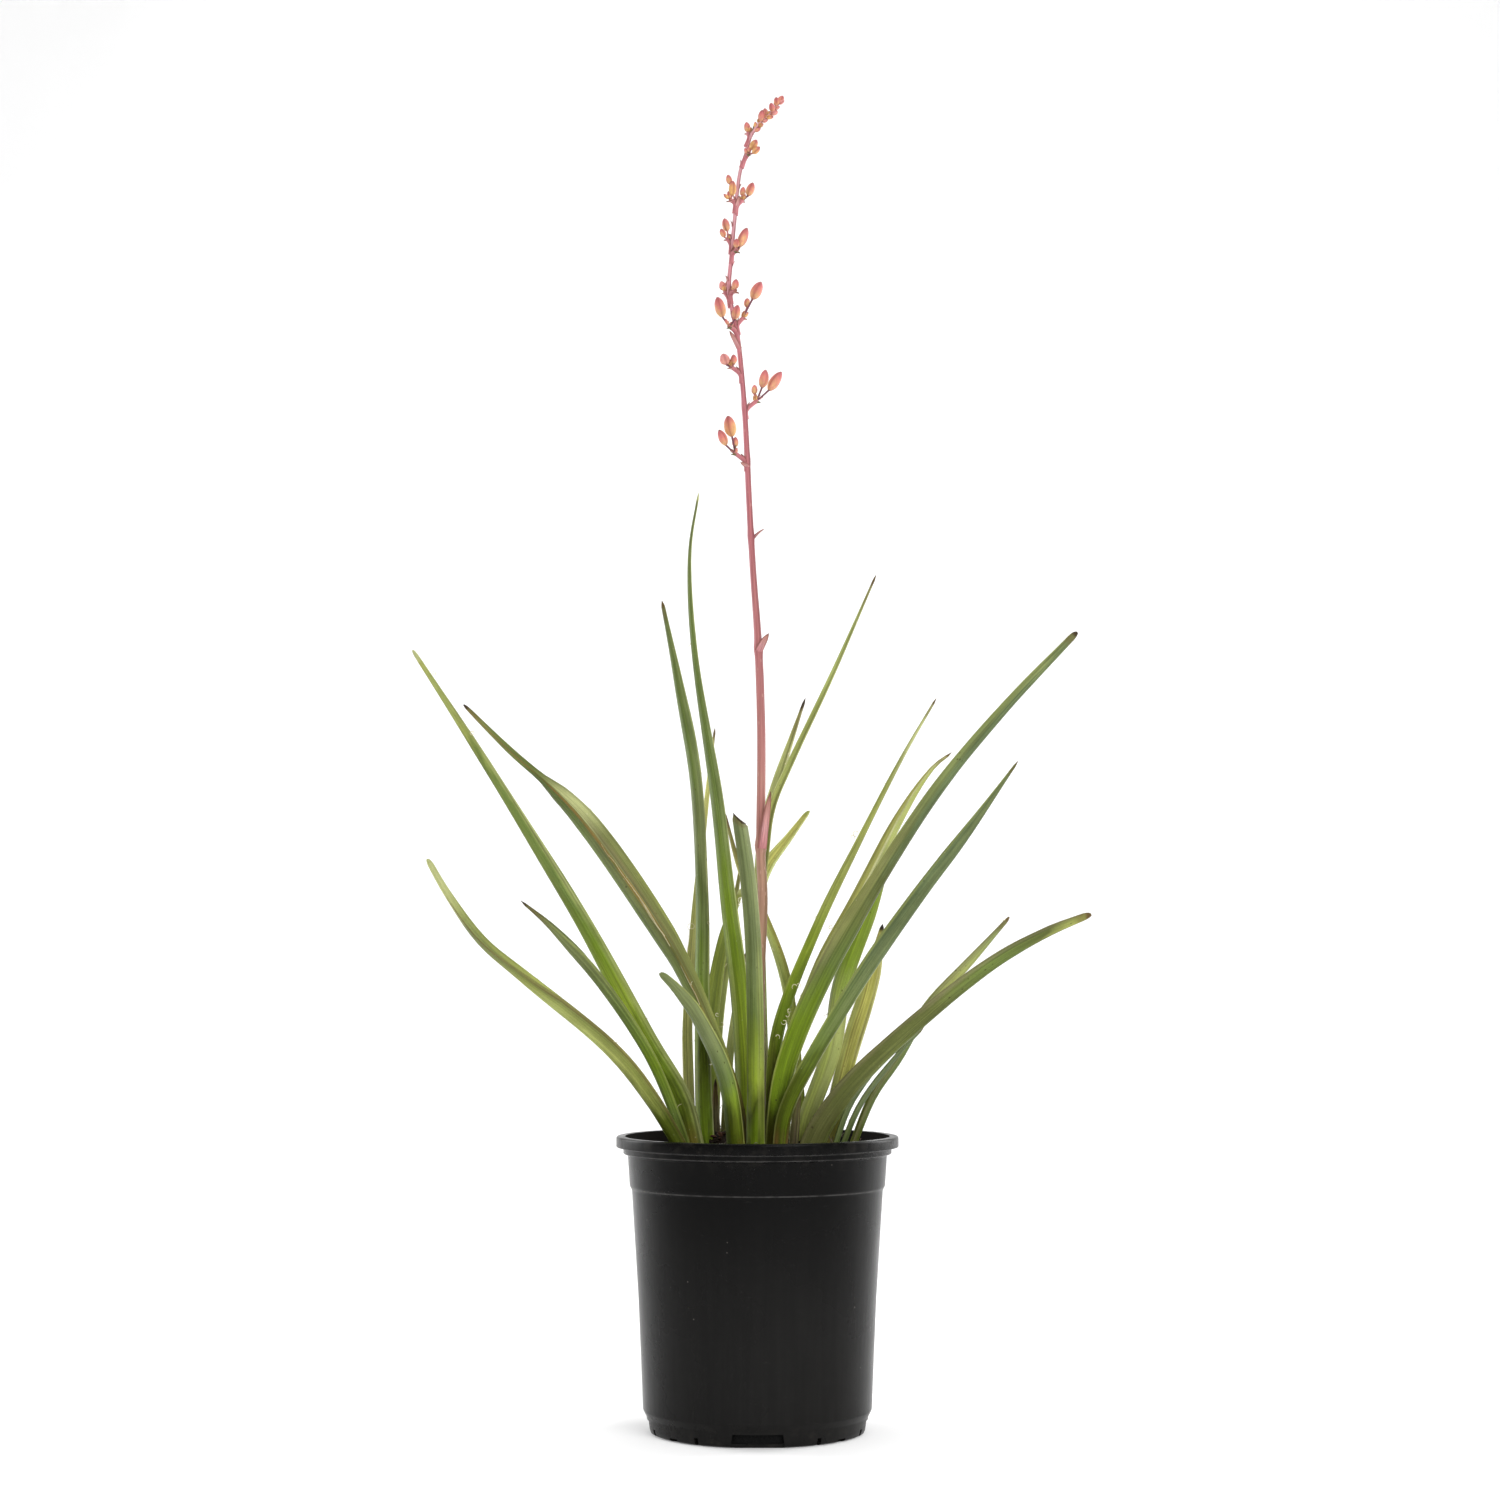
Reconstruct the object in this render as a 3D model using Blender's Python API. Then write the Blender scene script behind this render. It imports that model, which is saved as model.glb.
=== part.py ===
"""A potted red yucca: a nursery pot, its soil, three crowns of channelled leaves and a budding stalk.

Sizes below are in millimetres, and MM turns them into metres when a mesh is made. +Z is up, and the
origin is the middle of the pot's underside. Points of the plant are (across, depth, up): across and up
lie on the upright plane through the pot's axis as they look from EYE, and place() carries the point
along its line of sight to its depth behind that plane. So a leaf keeps its look from the front
whatever its depth is.
"""
import math
import random

import bpy
from mathutils import Vector

MM = 0.001
GAP = 0.35
SEED = 11

# The eye that the plant's points are drawn from
EYE = Vector((-4.4, -1700.0, 273.0))

# Pot
POT_SEGMENTS = 48
POT_HEIGHT = 173.2
RIM_RADIUS = 84.0
RIM_BAND = 6.8
RIM_MOUTH = 78.6
COLLAR_RADIUS = 79.8
COLLAR_HEIGHT = 3.4
BAND_TOP_RADIUS = 77.1
BAND_FOOT_RADIUS = 75.9
BAND_FOOT = 144.0
BODY_TOP_RADIUS = 74.6
BODY_TOP = 141.6
BODY_MIDDLE_RADIUS = 70.4
BODY_MIDDLE = 76.5
BODY_FOOT_RADIUS = 67.6
BODY_FOOT = 13.4
FOOT_TOP_RADIUS = 65.5
FOOT_TOP = 9.3
FOOT_RADIUS = 64.9
FOOT_ROUND = 3.4
WALL = 1.9
FLOOR = 2.4
DRAIN_WIDTH = 32.0
DRAIN_HEIGHT = 8.0
DRAIN_REACH = 60.0
NOTCHES = ((33.0, 3.0, 4.6), (49.0, 7.5, 2.2), (68.0, 3.0, 4.6))

# Soil
SOIL_SEGMENTS = 26
SOIL_RINGS = (16.0, 30.0, 43.0, 55.0, 65.0)
SOIL_EDGE = 158.0
SOIL_MOUND = 12.0
SOIL_HUMP = (-22.0, 4.0, 8.0, 9.0)
SOIL_ROUGHNESS = 1.3
ROOT_LENGTH = 15.0
HOLE_REACH = 28.0
HOLE_FLARE = 1.2

# Leaf section: depth of the channel and thickness as shares of the width
CHANNEL_SHARE = 0.34
THICK_SHARE = 0.26
MARGIN_SHARE = 0.10
LEAST_THICKNESS = 1.1
LEAST_MARGIN = 0.8
FIT_STEPS = 4
LEAST_WIDTH = 1.6
LEAF_STATIONS = 10
SECTION_ACROSS = (-1.0, -0.36, 0.36, 1.0)
BLUNT_LENGTH = 5.0
BLUNT_STEPS = (0.0, 0.55, 0.85, 1.0)

# Colours: linear values of the leaves' greens and of the dry, rosy and coral parts
COLOURS = {
    "pot_black": (0.012, 0.012, 0.013),
    "soil_brown": (0.030, 0.018, 0.012),
    "leaf_green": (0.13, 0.22, 0.035),
    "leaf_blue": (0.14, 0.21, 0.10),
    "leaf_olive": (0.22, 0.21, 0.06),
    "leaf_yellow": (0.38, 0.38, 0.12),
    "dry_sheath": (0.16, 0.11, 0.07),
    "stalk_rose": (0.50, 0.17, 0.15),
    "bud_coral": (0.72, 0.20, 0.13),
}
ROUGHNESS = {"pot_black": 0.38, "soil_brown": 0.95, "dry_sheath": 0.8}
LEAF_ROUGHNESS = 0.5


def clear_scene():
    """Remove what the scene holds."""
    for thing in list(bpy.data.objects):
        bpy.data.objects.remove(thing, do_unlink=True)


def material(name):
    """The material of one colour of the object."""
    known = bpy.data.materials.get(name)
    if known:
        return known
    made = bpy.data.materials.new(name)
    made.use_nodes = True
    shader = made.node_tree.nodes["Principled BSDF"]
    shader.inputs["Base Color"].default_value = (*COLOURS[name], 1.0)
    shader.inputs["Roughness"].default_value = ROUGHNESS.get(name, LEAF_ROUGHNESS)
    shader.inputs["Metallic"].default_value = 0.0
    return made


def add_object(name, points, faces, colour, smooth=True):
    """A mesh object from points in millimetres."""
    mesh = bpy.data.meshes.new(name)
    mesh.from_pydata([Vector(point) * MM for point in points], [], faces)
    mesh.validate()
    mesh.materials.append(material(colour))
    made = bpy.data.objects.new(name, mesh)
    bpy.context.scene.collection.objects.link(made)
    if smooth:
        mesh.shade_smooth()
        mesh.set_sharp_from_angle(angle=math.radians(40))
    return made


def lofted(rings):
    """Points and faces of a closed body through rings of points, each end closed by a flat face."""
    sides = len(rings[0])
    points = [point for ring in rings for point in ring]
    faces = []
    for row in range(len(rings) - 1):
        for side in range(sides):
            here = row * sides + side
            beside = row * sides + (side + 1) % sides
            faces.append((here, beside, beside + sides))
            faces.append((here, beside + sides, here + sides))
    last = (len(rings) - 1) * sides
    faces.append(tuple(reversed(range(sides))))
    faces.append(tuple(range(last, last + sides)))
    return points, faces


def turned(profile, segments, height_at=None):
    """Points and faces of a profile of (radius, height) turned about Z, both its ends on the axis."""
    points = [(0.0, 0.0, profile[0][1])]
    for radius, height in profile[1:-1]:
        for step in range(segments):
            angle = math.tau * step / segments
            lift = height_at(radius, angle, height) if height_at else height
            points.append((radius * math.cos(angle), radius * math.sin(angle), lift))
    points.append((0.0, 0.0, profile[-1][1]))
    rings = len(profile) - 2
    faces = []
    for step in range(segments):
        after = (step + 1) % segments
        faces.append((0, 1 + after, 1 + step))
        for ring in range(rings - 1):
            low = 1 + ring * segments
            high = low + segments
            faces.append((low + step, low + after, high + after))
            faces.append((low + step, high + after, high + step))
        top = 1 + (rings - 1) * segments
        faces.append((top + step, top + after, len(points) - 1))
    return points, faces


def boolean(target, tools, operation):
    """Cut or join the tools into the target at once, apply it and remove the tools."""
    group = bpy.data.collections.new(target.name + "_tools")
    bpy.context.scene.collection.children.link(group)
    for tool in tools:
        bpy.context.scene.collection.objects.unlink(tool)
        group.objects.link(tool)
    modifier = target.modifiers.new("Boolean", "BOOLEAN")
    modifier.operation = operation
    modifier.operand_type = "COLLECTION"
    modifier.collection = group
    modifier.solver = "EXACT"
    graph = bpy.context.evaluated_depsgraph_get()
    graph.update()
    made = bpy.data.meshes.new_from_object(target.evaluated_get(graph))
    target.modifiers.clear()
    target.data = made
    for tool in tools:
        bpy.data.objects.remove(tool, do_unlink=True)
    bpy.data.collections.remove(group)
    return target


def place(point):
    """The real place of a point that is drawn as (across, depth, up)."""
    across, depth, up = point
    seen = Vector((across, 0.0, up))
    return EYE + (seen - EYE) * ((depth - EYE.y) / -EYE.y)


def smooth_path(points, fine=10):
    """A dense Catmull-Rom curve through the points."""
    ends = [points[0] * 2 - points[1], *points, points[-1] * 2 - points[-2]]
    dense = []
    for before, start, end, after in zip(ends, ends[1:], ends[2:], ends[3:]):
        for step in range(fine):
            t = step / fine
            dense.append(0.5 * (
                2 * start
                + (end - before) * t
                + (2 * before - 5 * start + 4 * end - after) * t * t
                + (3 * start - before - 3 * end + after) * t * t * t
            ))
    dense.append(points[-1].copy())
    return dense


def along(dense, distances):
    """The places at the given distances along a dense path, each with its direction."""
    marks = [0.0]
    for start, end in zip(dense, dense[1:]):
        marks.append(marks[-1] + (end - start).length)
    found = []
    for distance in distances:
        index = 0
        while index < len(marks) - 2 and marks[index + 1] < distance:
            index += 1
        span = marks[index + 1] - marks[index]
        share = (distance - marks[index]) / span
        spot = dense[index].lerp(dense[index + 1], share)
        before = dense[max(index - 1, 0)]
        after = dense[min(index + 2, len(dense) - 1)]
        found.append((spot, (after - before).normalized()))
    return found, marks[-1]


def path_length(dense):
    """The length of a dense path."""
    return sum((end - start).length for start, end in zip(dense, dense[1:]))


def between(values, share):
    """A value read smoothly from values at even shares of the way."""
    place_along = min(max(share, 0.0), 1.0) * (len(values) - 1)
    index = min(int(place_along), len(values) - 2)
    rest = place_along - index
    ease = rest * rest * (3 - 2 * rest)
    blend = 0.5 * (rest + ease)
    return values[index] * (1 - blend) + values[index + 1] * blend


def blade_frame(direction, roll):
    """The inward and sideways directions of a blade whose channel is rolled from facing the front."""
    front = Vector((0.0, -1.0, 0.0))
    front = (front - direction * front.dot(direction)).normalized()
    right = direction.cross(front)
    angle = math.radians(roll)
    inward = front * math.cos(angle) + right * math.sin(angle)
    return inward, inward.cross(direction)


def section(inward, sideways, width, spare=0.0):
    """The outline of a channelled blade about its middle: its round outer face, then the hollow inner one."""
    channel = CHANNEL_SHARE * width
    thick = max(THICK_SHARE * width, LEAST_THICKNESS)
    margin = max(MARGIN_SHARE * width, LEAST_MARGIN)
    rise = (channel - thick) / 2
    half = width / 2 + spare
    outline = []
    for share in SECTION_ACROSS:
        depth = margin + (thick - margin) * (1 - share * share)
        outline.append(sideways * share * half + inward * (channel * share * share - rise - depth - spare))
    if spare:
        for side in (1, -1):
            outline.append(sideways * side * half + inward * (channel - rise + spare))
        return outline
    for share in reversed(SECTION_ACROSS):
        outline.append(sideways * share * half + inward * (channel * share * share - rise))
    return outline


def seen_across(outline, across):
    """The outline's reach along a direction: how wide it is and where its middle is."""
    spans = [point.dot(across) for point in outline]
    return max(spans) - min(spans), (max(spans) + min(spans)) / 2


def blade_ring(spot, direction, roll, seen, spare=0.0):
    """One ring of a blade that looks from EYE as wide as drawn and is centred there on its path.

    A spare distance makes it the outline of a hole round the blade instead, flat at its inner side.
    """
    inward, sideways = blade_frame(direction, roll)
    across = direction.cross(spot - EYE).normalized()
    width = seen
    for _ in range(FIT_STEPS):
        reach, _ = seen_across(section(inward, sideways, width), across)
        width = max(width * seen / reach, LEAST_WIDTH)
    _, middle = seen_across(section(inward, sideways, width), across)
    centre = spot - across * middle
    return [centre + point for point in section(inward, sideways, width, spare)]


def with_root(points):
    """The path's points, with a straight root below the soil's surface before them."""
    first = points[0] - points[1]
    return [points[0] + first.normalized() * ROOT_LENGTH, *points]


def leaf_rings(spec):
    """The rings of one leaf from its root to its tip."""
    points = with_root([place(point) for point in spec["path"]])
    dense = smooth_path(points)
    length = path_length(dense)
    stations = spec.get("stations", LEAF_STATIONS)
    blunt = spec["tip"] == "blunt"
    body = length - (BLUNT_LENGTH if blunt else 0.0)
    distances = [body * step / stations for step in range(stations + (0 if blunt else 1))]
    shrink = [1.0] * len(distances)
    if blunt:
        for step in BLUNT_STEPS:
            distances.append(body + BLUNT_LENGTH * step)
            shrink.append(math.sqrt(1 - (0.93 * step) ** 2))
    spots, _ = along(dense, distances)
    rings = []
    for (spot, direction), distance, share in zip(spots, distances, shrink):
        way = max(distance - ROOT_LENGTH, 0.0) / (length - ROOT_LENGTH)
        width = between(spec["width"], way) * share
        roll = spec["roll"][0] + (spec["roll"][1] - spec["roll"][0]) * way
        rings.append(blade_ring(spot, direction, roll, width))
    return rings


def leaf(spec):
    """One leaf, and the cutter for its root's hole in the soil."""
    points, faces = lofted(leaf_rings(spec))
    add_object(spec["name"], points, faces, spec["colour"])
    start = place(spec["path"][0])
    direction = (place(spec["path"][1]) - start).normalized()
    rings = []
    for reach, spare in ((-ROOT_LENGTH - GAP, GAP), (HOLE_REACH, GAP + HOLE_FLARE)):
        spot = start + direction * reach
        rings.append(blade_ring(spot, direction, spec["roll"][0], spec["width"][0], spare))
    points, faces = lofted(rings)
    return add_object(spec["name"] + "_hole", points, faces, "soil_brown")


GREEN, BLUE, OLIVE, YELLOW, DRY = "leaf_green", "leaf_blue", "leaf_olive", "leaf_yellow", "dry_sheath"

# Each leaf: widths from base to tip, roll of its channel from facing the front at base and tip
# (90 turns it to the right, 180 to the back), and its path from the soil to the tip.
LEAVES = (
    # Left crown
    dict(name="leaf_left_long", colour=GREEN, tip="blunt", roll=(140, 120),
         width=(11.9, 11.8, 9.2, 5.8, 2.6),
         path=((-36, -12, 160), (-45, -13, 195), (-67, -15, 232), (-102.4, -18, 297), (-136, -22, 352),
               (-172, -28, 409), (-208, -34, 464))),
    dict(name="leaf_left_low", colour=YELLOW, tip="blunt", roll=(150, 40),
         width=(8.3, 9.4, 8.6, 6.2, 3.5),
         path=((-42, -29, 160), (-63, -35, 195), (-89.5, -42, 226.8), (-138.4, -54, 266.6), (-165, -60, 289),
               (-185, -64, 316), (-198, -66, 338))),
    dict(name="leaf_left_small", colour=GREEN, tip="pointed", roll=(140, 75),
         width=(5.9, 6.2, 6.6, 6.8, 1.4),
         path=((-41, -20, 160), (-47, -22, 180), (-64.5, -29, 221), (-92.5, -40, 263), (-121, -50, 295),
               (-142, -58, 313))),
    dict(name="leaf_left_tall", colour=GREEN, tip="pointed", roll=(172, 150),
         width=(10.8, 9.2, 7.6, 7.6, 2.4),
         path=((-30, -1, 160), (-32, 0, 193), (-33, 5, 254), (-33, 12, 313), (-37, 24, 386),
               (-47.4, 40, 444), (-57.6, 52, 494))),
    dict(name="leaf_left_back_thin", colour=YELLOW, tip="pointed", roll=(10, 60),
         width=(6.0, 6.0, 5.2, 3.6, 1.4),
         path=((-39, 7, 160), (-41, 12, 210), (-41.5, 22, 247), (-37.5, 42, 301), (-31.5, 72, 364),
               (-25.5, 105, 417))),
    dict(name="leaf_left_back", colour=GREEN, tip="pointed", roll=(-10, -30),
         width=(7.9, 8.8, 9.2, 7.4, 3.0),
         path=((-29, 14, 160), (-28, 26, 218), (-26.5, 44, 254), (-19.5, 64, 292), (-9, 96, 321))),
    # Centre crown
    dict(name="leaf_front_short", colour=BLUE, tip="blunt", roll=(168, 150),
         width=(10.6, 10.2, 9.7, 8.2, 4.0),
         path=((-12, -30, 160), (-18, -38, 205), (-34, -54, 241), (-46, -65, 258), (-58, -75, 270))),
    dict(name="leaf_centre_left", colour=OLIVE, tip="blunt", roll=(75, 65), stations=20,
         width=(6.0, 6.5, 7.1, 8.0, 9.3, 10.4, 11.5, 13.9, 14.7, 14.9, 14.8, 14.0, 11.0, 4.6, 4.2,
                3.2, 2.2),
         path=((-6, -12, 160), (-14.2, -16, 201), (-38, -21, 260), (-61.5, -26, 302), (-105, -30, 363),
               (-148.8, -34, 403.2), (-177, -38, 431))),
    dict(name="leaf_centre_tallest", colour=GREEN, tip="pointed", roll=(175, 160),
         width=(12.0, 11.2, 8.2, 3.8, 1.4),
         path=((-8, -3, 160), (-7, -4, 193), (-10, -6, 252), (-18, -8, 318), (-24.5, -7, 376),
               (-37.4, 2, 459), (-41, 10, 519), (-35.5, 16, 560))),
    dict(name="leaf_centre_blunt", colour=BLUE, tip="blunt", roll=(180, 185),
         width=(11.3, 10.2, 9.8, 9.4, 8.2),
         path=((-1, -23, 160), (-1, -31, 222), (-2, -44, 277), (-5.4, -60, 324), (-11.3, -76, 366))),
    dict(name="leaf_back_left_grey", colour=BLUE, tip="pointed", roll=(0, -30),
         width=(6.1, 6.7, 7.3, 5.4, 1.8),
         path=((-26, 26, 160), (-24, 48, 236), (-18, 80, 282), (-10, 110, 334))),
    dict(name="leaf_back_left_low", colour=BLUE, tip="pointed", roll=(0, -30),
         width=(5.5, 5.4, 5.0, 3.9, 1.8),
         path=((-20, 17, 160), (-17, 28, 215), (-13, 44, 248), (-7, 70, 282))),
    dict(name="leaf_back_yellow", colour=YELLOW, tip="blunt", roll=(-10, -60),
         width=(7.3, 7.2, 7.6, 8.4, 3.2),
         path=((5, 24, 160), (2, 42, 254), (1, 66, 313), (5.5, 80, 333), (19, 98, 351),
               (31, 114, 367))),
    dict(name="leaf_back_olive", colour=OLIVE, tip="pointed", roll=(-15, -50),
         width=(6.0, 6.6, 7.6, 6.8, 1.6),
         path=((6, 14, 160), (1.5, 22, 254), (2.5, 32, 343), (10, 42, 378), (21.8, 54, 414), (29, 64, 435))),
    dict(name="leaf_back_tall", colour=GREEN, tip="pointed", roll=(-20, -45),
         width=(5.4, 5.3, 5.2, 3.6, 1.4),
         path=((-5, 10, 160), (-2, 11, 277), (4, 14, 336), (8.4, 16, 368), (20, 20, 396),
               (46, 32, 451), (72, 46, 510))),
    dict(name="leaf_centre_right_thin", colour=GREEN, tip="pointed", roll=(-150, -140),
         width=(8.4, 7.8, 5.9, 3.3, 1.4),
         path=((10, -5, 160), (9, -6, 188), (12.7, -5, 237), (35.7, 4, 297), (60.7, 14, 348), (86, 20, 397),
               (108, 26, 435))),
    dict(name="leaf_centre_right_long", colour=GREEN, tip="blunt", roll=(-145, -130),
         width=(10.7, 12.0, 12.8, 13.0, 9.6, 8.2, 7.0, 5.8, 4.2),
         path=((9, -15, 160), (16, -18, 211), (36.8, -22, 264), (69.3, -24, 321), (108.2, -26, 380),
               (149, -28, 429), (193, -30, 475))),
    dict(name="leaf_right_yellow", colour=YELLOW, tip="pointed", roll=(-60, -80),
         width=(7.2, 7.7, 8.3, 7.6, 1.6),
         path=((15, 6, 160), (20, 13, 218), (36, 26, 270), (59, 38, 313), (86, 50, 364),
               (104, 57, 391), (117, 62, 402))),
    dict(name="leaf_right_middle", colour=BLUE, tip="pointed", roll=(-155, -125),
         width=(8.9, 9.2, 9.4, 7.8, 1.4),
         path=((13, -29, 160), (17, -31, 188), (35, -37, 223), (65.2, -46, 272), (96.3, -56, 316),
               (129, -66, 358.5), (157, -74, 397))),
    # Right crown
    dict(name="leaf_right_wide", colour=GREEN, tip="pointed", roll=(165, 150),
         width=(10.8, 11.3, 11.8, 10.0, 1.8),
         path=((27, -4, 160), (29, -5, 181), (44, 0, 223), (51, 12, 264), (66, 26, 304),
               (82, 42, 347))),
    dict(name="leaf_right_folded", colour=YELLOW, tip="pointed", roll=(0, -20),
         width=(8.5, 10.8, 11.4, 10.6, 2.4),
         path=((40, 8, 160), (51, 16, 208), (58, 32, 233), (67.5, 58, 264), (75, 90, 299))),
    dict(name="leaf_right_long_low", colour=OLIVE, tip="blunt", roll=(-145, -120),
         width=(15.0, 13.6, 12.0, 10.4, 9.8, 8.8, 7.6, 6.0, 4.1),
         path=((30, -22, 160), (38, -26, 179), (59, -33, 207), (97, -42, 242), (138, -50, 274),
               (171, -56, 293), (200, -60, 305))),
    dict(name="leaf_right_back_left", colour=OLIVE, tip="pointed", roll=(30, 60),
         width=(7.3, 7.0, 6.8, 4.6, 1.6),
         path=((28, 16, 160), (25, 20, 194), (18, 32, 261), (3, 48, 306), (-10, 66, 331),
               (-20, 78, 367))),
    dict(name="leaf_right_low_back", colour=YELLOW, tip="blunt", roll=(-80, -100),
         width=(4.6, 5.2, 6.0, 5.8, 2.4),
         path=((54, -3, 160), (68, 0, 195), (84, 6, 219), (102, 14, 250), (126.5, 24, 276),
               (151, 34, 303))),
    dict(name="leaf_right_young_outer", colour=GREEN, tip="pointed", roll=(-90, -90), stations=9,
         width=(3.4, 3.6, 3.4, 2.6, 1.4),
         path=((48, -9, 160), (61, -9, 191), (81, -6, 218), (100, -2, 238))),
    dict(name="leaf_right_young_inner", colour=GREEN, tip="pointed", roll=(-90, -90), stations=9,
         width=(3.4, 3.6, 3.4, 2.6, 1.4),
         path=((44, -15, 160), (55, -13, 191), (73, -8, 216), (88, -2, 231))),
    # Dry sheaths
    dict(name="dry_sheath_left", colour=DRY, tip="pointed", roll=(175, 160), stations=6,
         width=(5.5, 6.0, 5.0, 3.5, 1.6), path=((-24, 7, 160), (-25, 8, 185), (-25, 10, 207))),
    dict(name="dry_sheath_right", colour=DRY, tip="pointed", roll=(175, 190), stations=6,
         width=(5.0, 5.5, 5.0, 3.5, 1.6), path=((21, -13, 160), (23, -14, 185), (26, -12, 209))),
)


def pot_profile():
    """The pot's wall: up its outside, over the rim and down its inside to the middle of the floor."""
    rim_foot = POT_HEIGHT - RIM_BAND
    collar_foot = rim_foot - COLLAR_HEIGHT
    return (
        (0.0, 0.0),
        (FOOT_RADIUS - FOOT_ROUND, 0.0),
        (FOOT_RADIUS - 0.9, 0.9),
        (FOOT_RADIUS, FOOT_ROUND),
        (FOOT_TOP_RADIUS, FOOT_TOP),
        (BODY_FOOT_RADIUS, BODY_FOOT),
        (BODY_MIDDLE_RADIUS, BODY_MIDDLE),
        (BODY_TOP_RADIUS, BODY_TOP),
        (BAND_FOOT_RADIUS, BAND_FOOT),
        (BAND_TOP_RADIUS, collar_foot - 1.0),
        (COLLAR_RADIUS, collar_foot),
        (COLLAR_RADIUS, rim_foot),
        (RIM_RADIUS, rim_foot + 0.4),
        (RIM_RADIUS, POT_HEIGHT - 0.8),
        (RIM_RADIUS - 0.8, POT_HEIGHT),
        (RIM_MOUTH, POT_HEIGHT),
        (BAND_TOP_RADIUS - WALL, collar_foot),
        (BODY_TOP_RADIUS - WALL, BODY_TOP),
        (BODY_MIDDLE_RADIUS - WALL, BODY_MIDDLE),
        (FOOT_TOP_RADIUS - WALL, FOOT_TOP),
        (FOOT_RADIUS - WALL - 1.0, FLOOR),
        (0.0, FLOOR),
    )


def inner_radius(height):
    """The inside radius of the pot at a height."""
    profile = pot_profile()[15:21]
    for (upper, top), (lower, foot) in zip(profile, profile[1:]):
        if foot <= height <= top:
            return lower + (upper - lower) * (height - foot) / (top - foot)
    return profile[-1][0]


def foot_cutter(name, angle, width, height, inner):
    """A block that opens the pot's foot at an angle from the front."""
    turn = math.radians(angle)
    outward = Vector((math.sin(turn), -math.cos(turn), 0.0))
    beside = Vector((-outward.y, outward.x, 0.0))
    rings = []
    for reach in (inner, RIM_RADIUS):
        ring = []
        for across, up in ((-1, -2.0), (1, -2.0), (0.9, height), (-0.9, height)):
            ring.append(outward * reach + beside * across * width / 2 + Vector((0, 0, up)))
        rings.append(ring)
    points, faces = lofted(rings)
    return add_object(name, points, faces, "pot_black", smooth=False)


def pot():
    """The pot, with its drain slots and vent notches cut."""
    points, faces = turned(pot_profile(), POT_SEGMENTS)
    body = add_object("pot", points, faces, "pot_black")
    cutters = []
    for angle in (0, 90, 180, 270):
        cutters.append(foot_cutter(f"drain_{angle}", angle, DRAIN_WIDTH, DRAIN_HEIGHT, DRAIN_REACH))
    for angle, width, height in NOTCHES:
        for side in (angle, -angle, 180 + angle, 180 - angle):
            reach = FOOT_RADIUS - FOOT_ROUND - 1.0
            cutters.append(foot_cutter(f"notch_{side:.0f}", side, width, height, reach))
    boolean(body, cutters, "DIFFERENCE")
    body.data.shade_smooth()
    body.data.set_sharp_from_angle(angle=math.radians(35))


def soil_height():
    """A function of radius and angle that gives the soil's mounded, uneven surface."""
    draw = random.Random(SEED)
    waves = [(draw.randint(2, 7), draw.uniform(0, math.tau), draw.uniform(0.05, 0.12)) for _ in range(6)]

    def height(radius, angle, level):
        if level < SOIL_EDGE - 1:
            return level
        x = radius * math.cos(angle)
        y = radius * math.sin(angle)
        mound = SOIL_MOUND * math.exp(-((x / 50) ** 2 + (y / 38) ** 2))
        hump_x, hump_y, hump, reach = SOIL_HUMP
        mound += hump * math.exp(-((x - hump_x) ** 2 + (y - hump_y) ** 2) / reach ** 2)
        rough = sum(math.sin(turns * angle + shift + radius * pitch) for turns, shift, pitch in waves)
        fade = min(radius / 20, 1.0)
        return level + mound + rough * SOIL_ROUGHNESS * fade / 2

    return height


def soil(cutters):
    """The soil that fills the pot, with a hole for each root."""
    levels = (FLOOR + GAP, FOOT_TOP, BODY_MIDDLE, BODY_TOP, SOIL_EDGE - 2)
    profile = [(0.0, levels[0])]
    profile += [(inner_radius(level) - GAP, level) for level in levels]
    profile += [(radius, SOIL_EDGE) for radius in (inner_radius(SOIL_EDGE) - 1.5, *reversed(SOIL_RINGS))]
    profile.append((0.0, SOIL_EDGE + SOIL_MOUND))
    points, faces = turned(profile, SOIL_SEGMENTS, soil_height())
    body = add_object("soil", points, faces, "soil_brown")
    boolean(body, cutters, "DIFFERENCE")


# The stalk: its path as (across, depth, up) and its radius from base to tip
STALK_PATH = (
    (1.8, 3, 164), (1, 2.4, 220), (1.3, 2, 269), (3.2, 1, 313), (2, 0, 346), (2.4, 0, 410), (0.7, 0, 465),
    (-2.6, 0, 513), (-4.8, 0, 552), (-6.8, 0, 596), (-9, 0, 628), (-12, 1, 656), (-17, 1, 683), (-16, 1, 703),
    (-14, 0, 726), (-11, 0, 755), (-7, 0, 769), (-4, 0, 780), (2, 0, 789), (8, 0, 794), (13, 0, 801),
)
STALK_RADII = (3.6, 3.4, 3.2, 2.8, 2.5, 2.4, 1.9, 1.75, 1.5, 1.3, 1.1, 0.9)
STALK_LOW_STEP = 45
STALK_BEND = 620
STALK_HIGH_STEP = 9
STALK_SIDES = 7
STALK_NODES = ((346, 1.30), (465, 1.22), (533, 1.15), (580, 1.15), (612, 1.15), (660, 1.15))
NODE_REACH = 4.0

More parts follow.
